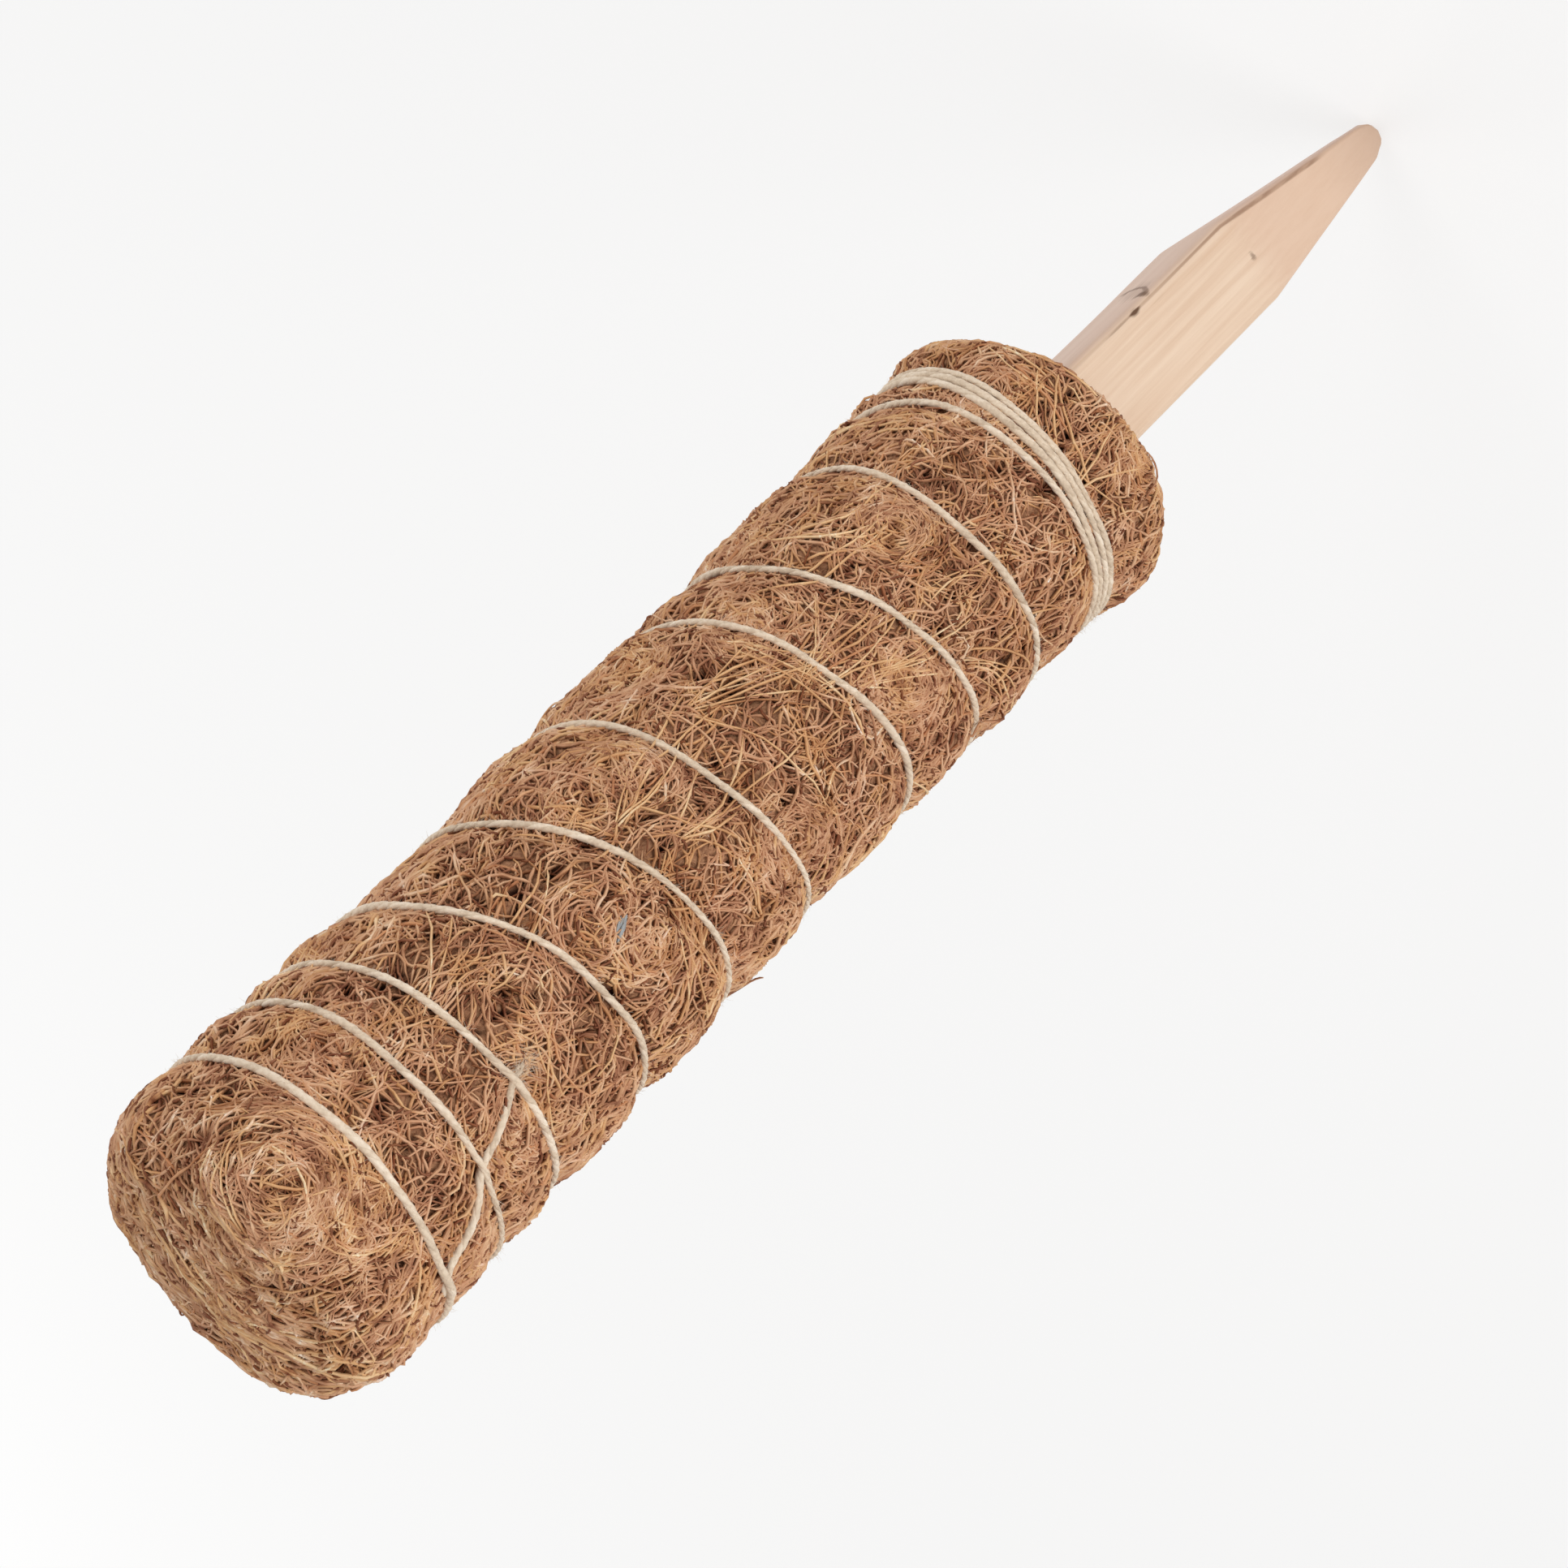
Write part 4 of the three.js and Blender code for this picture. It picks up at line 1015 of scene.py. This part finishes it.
def buildTwine(w):
    rng = np.random.default_rng(w["seed"])
    path, at = twinePath(w)
    along = unit(np.gradient(path, axis=0))
    outwards = unit(path * (1, 1, 0))
    outwards = unit(outwards - along * (outwards * along).sum(1, keepdims=True))
    across = np.cross(along, outwards)
    loose = looseShare(at, w)
    spread = w["plyOffset"] * (1 + w["fraySpread"] * loose ** 2)
    ups = []
    for k in range(w["plies"]):
        turn = 2 * math.pi * (at / w["twist"] + k / w["plies"])
        ups.append(across * np.cos(turn)[:, None] + outwards * np.sin(turn)[:, None])
    ups = np.stack(ups)
    plies = path + ups * spread[:, None]
    shade = waveField(rng, w["toneWaves"], w["toneSize"])
    shades = np.stack([shade(onLine(at) + (k, 0, 0)) for k in range(w["plies"])])
    tone = w["tone"] + w["toneSpread"] * shades
    uneven = w["uneven"] * waveField(rng, w["unevenWaves"], w["unevenSize"])(onLine(at))
    uneven = 1 + uneven + w["rough"] * rng.normal(size=plies.shape[:2])
    radii = w["plyRadius"] * uneven * (1 - w["frayThin"] * loose)
    radii *= 1 + w["bandSwell"] * smoothShare(at, at[-1] - w["bandRun"][0], at[-1] - w["bandRun"][1])
    yarn = yarnMaterial(w)
    piece = strandMesh("twine_plies", plies, radii, ups, yarn, dict(tone=tone), w["sides"], w["cellSteps"])
    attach(piece, "root")
    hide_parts("binding_twine")

    count = w["hairs"]
    root = rng.integers(0, len(path), count)
    frayed = np.arange(count) < w["frayHairs"]  # more and longer hairs at the two ends
    root[frayed] = rng.choice(np.flatnonzero(loose > 0), w["frayHairs"])
    turn = rng.uniform(0, 2 * math.pi, (count, 1))
    way = across[root] * np.cos(turn) + outwards[root] * np.abs(np.sin(turn))
    lean = along[root] * rng.normal(0, w["hairLean"], (count, 1))
    longer = np.where(frayed, w["frayLonger"], 1)[:, None]
    length = rng.uniform(w["hairShort"], w["hairLong"], (count, 1)) * longer
    bow = rng.normal(0, w["hairBow"], (count, 3))
    t = np.linspace(0, 1, w["hairPoints"])[None, :, None]
    foot = path[root] + way * w["hairFoot"]
    hairs = foot[:, None] + unit(way * w["hairOut"] + lean)[:, None] * (length[:, None] * t)
    hairs = hairs + bow[:, None] * length[:, None] * t ** 2 / 2
    atFoot, taper = w["hairTaper"]
    hairRadii = w["hairRadius"] * (atFoot - taper * t[:, :, 0]) * np.ones((count, 1))
    tone = np.clip(w["hairTone"] + rng.normal(0, w["hairToneSpread"], (count, 1)), 0, 1)
    tone = tone * np.ones((1, w["hairPoints"]))
    upwards = np.broadcast_to(way[:, None], hairs.shape)
    piece = strandMesh("twine_fuzz", hairs, hairRadii, upwards, yarn, dict(tone=tone))
    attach(piece, "root")


buildTwine(twineLook)
print("twine wound")

# Stake: square softwood, sanded edges, sawn to a blunt point. right and front are measured across the
# stake, 1 at a side; each pair is where a colour starts and where it is full
stakeLook = dict(pale=(0.75, 0.58, 0.44), tan=(0.655, 0.465, 0.33), pink=(0.55, 0.405, 0.355),
                 point=(0.68, 0.47, 0.345), tip=(0.53, 0.37, 0.275), stain=(0.40, 0.24, 0.155),
                 bark=(0.22, 0.105, 0.055), knot=(0.115, 0.055, 0.028), rough=0.62, gloss=0.25,
                 streak=dict(stretch=(1, 1, 0.025), scale=900.0, detail=4, rough=0.6), streakShare=0.65,
                 band=dict(stretch=(1, 1, 0.03), shift=(0.3, 0.1, 0), scale=190.0, rough=0.5, distort=0.6),
                 bandShare=0.35, cloud=dict(stretch=(1, 1, 0.3), scale=60.0, detail=2),
                 cloudSpan=(0.5, 0.75), cloudShare=0.25, noiseSpan=(0.3, 0.7), brokenSpan=(0.3, 0.6),
                 grainTan=0.34, grainPale=0.60, grainRough=(0.72, 0.56), bump=0.35, bumpDepth=0.0003,
                 sawnFrom=0.004, sawnTo=-0.010, sawnShare=0.7, tipFrom=-0.078, tipShare=0.65,
                 pinkSide=(0.86, 1.0), pinkShare=0.6,
                 stainAside=0.05, stainWide=(0.16, 0.03), stainFront=(0.5, 0.8), stainShare=(0.1, 0.4),
                 barkFrom=-0.012, barkFull=-0.06, barkTo=-0.088, barkAt=0.86, barkWide=0.045,
                 barkWiden=2.4, barkWideFrom=-0.045, barkEnd=0.006, barkFront=(0.80, 0.92),
                 barkShare=(0.12, 0.7), barkWander=(-0.02, 0.02), barkEdge=(1.0, 0.35), barkBroken=0.55,
                 knotEdge=(1.1, 0.5), knotRagged=(-0.4, 0.4), knotArch=(0.35, -0.35),
                 knots=[dict(at=(0.0077, -0.0072, -0.0327), reach=(0.0010, 0.0020, 0.0012), share=0.8),
                        dict(at=(0.0078, -0.0021, -0.0358), reach=(0.0020, 0.0062, 0.0016), share=0.6,
                             ring=0.25, lean=-28),
                        dict(at=(0.0078, -0.0026, -0.0362), reach=(0.0030, 0.0068, 0.0030), share=0.2,
                             lean=-28),
                        dict(at=(0.0066, -0.0082, -0.0283), reach=(0.0007, 0.0012, 0.0019), share=0.97),
                        dict(at=(0.0067, -0.0082, -0.0235), reach=(0.0003, 0.0008, 0.0050), share=0.3),
                        dict(at=(-0.0006, -0.0083, -0.0562), reach=(0.0007, 0.0012, 0.0009), share=0.55)])


def woodNoise(m, stretch, scale, shift=(0, 0, 0), **more):
    return m.noise(m.place(stretch, shift), scale, **more)


# x and y as shares of the half side at that height, so that a line keeps to its edge down the point
def acrossStake(m, x, y, z, form):
    low, tipHalf, fullHalf = form["low"], form["tipSide"] / 2, form["side"] / 2
    half = m.ease(z, low, low + form["runs"]["right"], tipHalf, fullHalf, "LINEAR")
    shift = m.ease(z, low, low + form["point"], form["tipShift"], 0.0, "LINEAR")
    bow = m.ease(z, 0.0, -form["bowReach"], 0.0, form["bow"])
    straight = m.maths("ADD", m.maths("SUBTRACT", x, shift), bow)
    return m.maths("DIVIDE", straight, half), m.maths("DIVIDE", m.times(y, -1.0), half)


# a thin brown line of bark along one edge, darker towards the point, in a soft stain
def barkLine(m, s, colour, right, front, z, band, streak):
    aside = m.maths("ABSOLUTE", m.maths("SUBTRACT", right, s["barkAt"] + s["stainAside"]))
    stain = m.times(m.ease(aside, *s["stainWide"]), m.ease(front, *s["stainFront"]),
                    m.ease(band, *s["noiseSpan"], *s["stainShare"]))
    colour = m.mix(stain, colour, s["stain"])
    wavy = m.maths("ADD", right, m.ease(band, *s["noiseSpan"], *s["barkWander"]))
    away = m.maths("ABSOLUTE", m.maths("SUBTRACT", wavy, s["barkAt"]))
    wide = m.ease(z, s["barkWideFrom"], s["barkTo"], s["barkWide"], s["barkWiden"] * s["barkWide"])
    line = m.times(m.ease(m.maths("DIVIDE", away, wide), *s["barkEdge"]), m.ease(front, *s["barkFront"]),
                   m.ease(z, s["barkFrom"], s["barkFull"], *s["barkShare"]),
                   m.ease(z, s["barkTo"], s["barkTo"] + s["barkEnd"]),
                   m.ease(streak, *s["brokenSpan"], s["barkBroken"], 1.0))
    return m.mix(line, colour, s["bark"])


def knotMark(m, s, knot, place, colour, streak):
    mapping = m.nodes.new("ShaderNodeMapping")
    mapping.vector_type = "TEXTURE"
    mapping.inputs["Location"].default_value = knot["at"]
    mapping.inputs["Rotation"].default_value = (math.radians(knot.get("lean", 0)), 0, 0)
    mapping.inputs["Scale"].default_value = knot["reach"]
    m.links.new(place, mapping.inputs["Vector"])
    middle = m.nodes.new("ShaderNodeVectorMath")
    middle.operation = "LENGTH"
    m.links.new(mapping.outputs[0], middle.inputs[0])
    away = middle.outputs["Value"]
    if "ring" in knot:
        away = m.maths("DIVIDE", m.maths("ABSOLUTE", m.maths("SUBTRACT", away, 1.0)), knot["ring"])
    ragged = m.maths("ADD", away, m.ease(streak, *s["noiseSpan"], *s["knotRagged"]))
    share = m.ease(ragged, *s["knotEdge"], 0.0, knot["share"])
    if "ring" in knot:  # only an arch of it shows
        share = m.times(share, m.ease(m.axes(mapping.outputs[0])[2], *s["knotArch"]))
    return m.mix(share, colour, s["knot"])


def woodMaterial(s, form):
    m = finishNodes("bareSoftwood", s["rough"], s["gloss"])
    streak, band, cloud = (woodNoise(m, **s[key]) for key in ("streak", "band", "cloud"))
    grain = m.maths("ADD", m.times(streak, s["streakShare"]), m.times(band, s["bandShare"]))
    colour = m.ramp(grain, [(s["grainTan"], s["tan"]), (s["grainPale"], s["pale"])])
    colour = m.mix(m.ease(cloud, *s["cloudSpan"], 0.0, s["cloudShare"]), colour, s["tan"])
    place = m.place()
    x, y, z = m.axes(place)
    right, front = acrossStake(m, x, y, z, form)
    shoulder = form["low"] + form["point"]
    sawn = m.ease(z, shoulder + s["sawnFrom"], shoulder + s["sawnTo"], 0.0, s["sawnShare"])
    colour = m.mix(sawn, colour, s["point"])
    colour = m.mix(m.ease(z, s["tipFrom"], form["low"], 0.0, s["tipShare"]), colour, s["tip"])
    colour = m.mix(m.ease(right, *s["pinkSide"], 0.0, s["pinkShare"]), colour, s["pink"])
    colour = barkLine(m, s, colour, right, front, z, band, streak)
    for knot in s["knots"]:
        colour = knotMark(m, s, knot, place, colour, streak)
    m.toShader("Base Color", colour)
    m.toShader("Roughness", m.ease(grain, *s["noiseSpan"], *s["grainRough"]))
    m.bump(streak, s["bump"], s["bumpDepth"])
    return m.material


def buildStake(s):
    bpy.ops.object.select_all(action="DESELECT")
    bpy.ops.mesh.primitive_cube_add(size=1, location=(0, 0, (s["low"] + innerTop) / 2))
    piece = bpy.context.object
    piece.name = "wood_stake"
    piece.scale = (s["side"], s["side"], innerTop - s["low"])
    bpy.ops.object.transform_apply(location=True, rotation=True, scale=True)
    # sand the four long edges round, then cut the loops that shape the point
    bpy.ops.object.mode_set(mode="EDIT")
    bpy.ops.mesh.select_mode(type="EDGE")
    bpy.ops.mesh.select_all(action="DESELECT")
    bpy.ops.object.mode_set(mode="OBJECT")
    for edge in piece.data.edges:
        first, second = (piece.data.vertices[k].co.z for k in edge.vertices)
        edge.select = abs(first - second) > s["side"]
    bpy.ops.object.mode_set(mode="EDIT")
    bpy.ops.mesh.bevel(offset=s["edge"], segments=s["edgeSteps"], affect="EDGES")
    heights = list(np.linspace(s["low"] + s["loopsFrom"], s["loopsFrom"], s["loops"]))
    for z in heights + [s["low"] + rise for rise in s["tipLoops"]]:
        bpy.ops.mesh.select_all(action="SELECT")
        bpy.ops.mesh.bisect(plane_co=(0, 0, z), plane_no=(0, 0, 1))
    bpy.ops.object.mode_set(mode="OBJECT")
    split = piece.modifiers.new("planks", "SUBSURF")
    split.subdivision_type = "SIMPLE"
    split.levels = split.render_levels = 1
    bpy.ops.object.modifier_apply(modifier=split.name)
    points = meshPoints(piece)
    up = points[:, 2] - s["low"]
    flat = points[:, :2].copy()
    # the section turns round near the tip, each sawn side has its own run, and the tip is a half round
    ring = flat / np.maximum(np.linalg.norm(flat, axis=1, keepdims=True), 1e-9) * s["side"] / 2
    ring *= (np.abs(flat).max(1) / (s["side"] / 2))[:, None]
    flat += (ring - flat) * (1 - smoothShare(up, s["roundFrom"], s["roundTo"]))[:, None]
    run = np.stack([np.where(flat[:, 0] > 0, s["runs"]["right"], s["runs"]["left"]),
                    np.where(flat[:, 1] < 0, s["runs"]["front"], s["runs"]["back"])], 1)
    tip = s["tipSide"] / s["side"]
    taper = np.clip(tip + (1 - tip) * up[:, None] / run, 0, 1)
    blunt = np.clip(up / s["tipEase"], 0, 1)
    points[:, :2] = flat * taper * np.sqrt(1 - s["tipRound"] * (1 - blunt) ** 2)[:, None]
    points[:, 0] += s["tipShift"] * np.clip(1 - up / s["point"], 0, 1)
    points[:, 0] -= s["bow"] * smoothShare(-points[:, 2], 0, s["bowReach"])
    ripple = waveField(np.random.default_rng(s["seed"]), s["wobbleWaves"], s["wobbleSize"])
    points += unit(points * (1, 1, 0)) * (s["wobble"] * ripple(points * s["wobbleStretch"]))[:, None]
    movePoints(piece, points)
    selectOnly(piece)
    bpy.ops.object.shade_smooth_by_angle(angle=math.radians(s["smoothBelow"]))
    piece.data.materials.append(woodMaterial(stakeLook, s))
    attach(piece, "root")
    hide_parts("stake")


buildStake(stakeForm)
print("stake cut")

# Inner mat and top pad: seen only from below, or not at all
innerMat = dict(radius=innerRadius, hole=stakeForm["side"] + 2 * matWalls["seat"],
                holeEdge=stakeForm["edge"] + matWalls["seat"], edgePoints=4, seam=0.0006,
                low=matWalls["innerBase"], high=innerTop, steps=48,
                bevel=0.0004, bevelSteps=2, smoothBelow=40)
topPad = dict(radius=innerRadius, low=padLow, high=padTop, ease=0.002, shoulder=matWalls["chamfer"],
              steps=48, topFrom=0.002, topRows=6, lowRows=7)


def buildInnerMat(m):
    slit = math.asin(m["seam"] / 2 / m["radius"])
    angles = np.linspace(math.pi / 2 - slit, math.pi / 2 + slit - 2 * math.pi, m["steps"])
    ring = [(m["radius"] * math.cos(a), m["radius"] * math.sin(a)) for a in angles]
    half, edge = m["hole"] / 2, m["holeEdge"]
    inset = half - edge
    ring.append((-m["seam"] / 2, half))
    for sx, sy, turn in ((-1, 1, math.pi / 2), (-1, -1, math.pi), (1, -1, 1.5 * math.pi), (1, 1, 0.0)):
        ring += [(sx * inset + edge * math.cos(turn + a), sy * inset + edge * math.sin(turn + a))
                 for a in np.linspace(0, math.pi / 2, m["edgePoints"])]
    ring.append((m["seam"] / 2, half))
    mesh = bpy.data.meshes.new("inner_coir_wrap")
    mesh.from_pydata([(x, y, m["low"]) for x, y in ring], [], [list(range(len(ring)))])
    piece = addPiece("inner_coir_wrap", mesh)
    selectOnly(piece)
    bpy.ops.object.mode_set(mode="EDIT")
    bpy.ops.mesh.select_all(action="SELECT")
    bpy.ops.mesh.extrude_region_move(TRANSFORM_OT_translate=dict(value=(0, 0, m["high"] - m["low"])))
    bpy.ops.mesh.select_all(action="SELECT")
    bpy.ops.mesh.normals_make_consistent(inside=False)
    bpy.ops.object.mode_set(mode="OBJECT")
    bevel = piece.modifiers.new("softEdges", "BEVEL")
    bevel.width = m["bevel"]
    bevel.segments = m["bevelSteps"]
    bevel.limit_method = "ANGLE"
    bpy.ops.object.modifier_apply(modifier=bevel.name)
    bpy.ops.object.shade_smooth_by_angle(angle=math.radians(m["smoothBelow"]))
    mesh.materials.append(feltCoir)
    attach(piece, "root")
    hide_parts("inner_coir_mat")


def buildTopPad(p):
    top, foot = p["radius"] - p["shoulder"], p["radius"] - p["ease"]
    line = [(0, p["high"])] + [(r, p["high"]) for r in np.linspace(p["topFrom"], top, p["topRows"])]
    line += [(p["radius"], p["high"] - p["shoulder"]), (p["radius"], p["low"] + p["ease"])]
    line += [(r, p["low"]) for r in np.linspace(foot, 0, p["lowRows"])]
    piece = spunShape("top_coir_filling", line, p["steps"])
    piece.data.materials.append(feltCoir)
    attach(piece, "root")
    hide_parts("top_coir_pad")


buildInnerMat(innerMat)
buildTopPad(topPad)
print("inner mat and pad placed")

# Staples stay as packed, in galvanised wire
stapleLook = dict(bright=(0.62, 0.62, 0.64), dull=(0.40, 0.40, 0.42), rough=(0.5, 0.32), gloss=0.5,
                  spangleScale=1400.0, dullTo=0.35, brightFrom=0.65, spangleSpan=(0.3, 0.7))


def wireMaterial(s):
    m = finishNodes("galvanisedWire", s["rough"][0], s["gloss"])
    m.shader.inputs["Metallic"].default_value = 1.0
    spangle = m.noise(m.place(), s["spangleScale"])
    m.toShader("Base Color", m.ramp(spangle, [(s["dullTo"], s["dull"]), (s["brightFrom"], s["bright"])]))
    m.toShader("Roughness", m.ease(spangle, *s["spangleSpan"], *s["rough"]))
    return m.material


wire = wireMaterial(stapleLook)
for name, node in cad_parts.items():
    if name.startswith("mat_staple"):
        node.data.materials.clear()
        node.data.materials.append(wire)
print("staples finished")
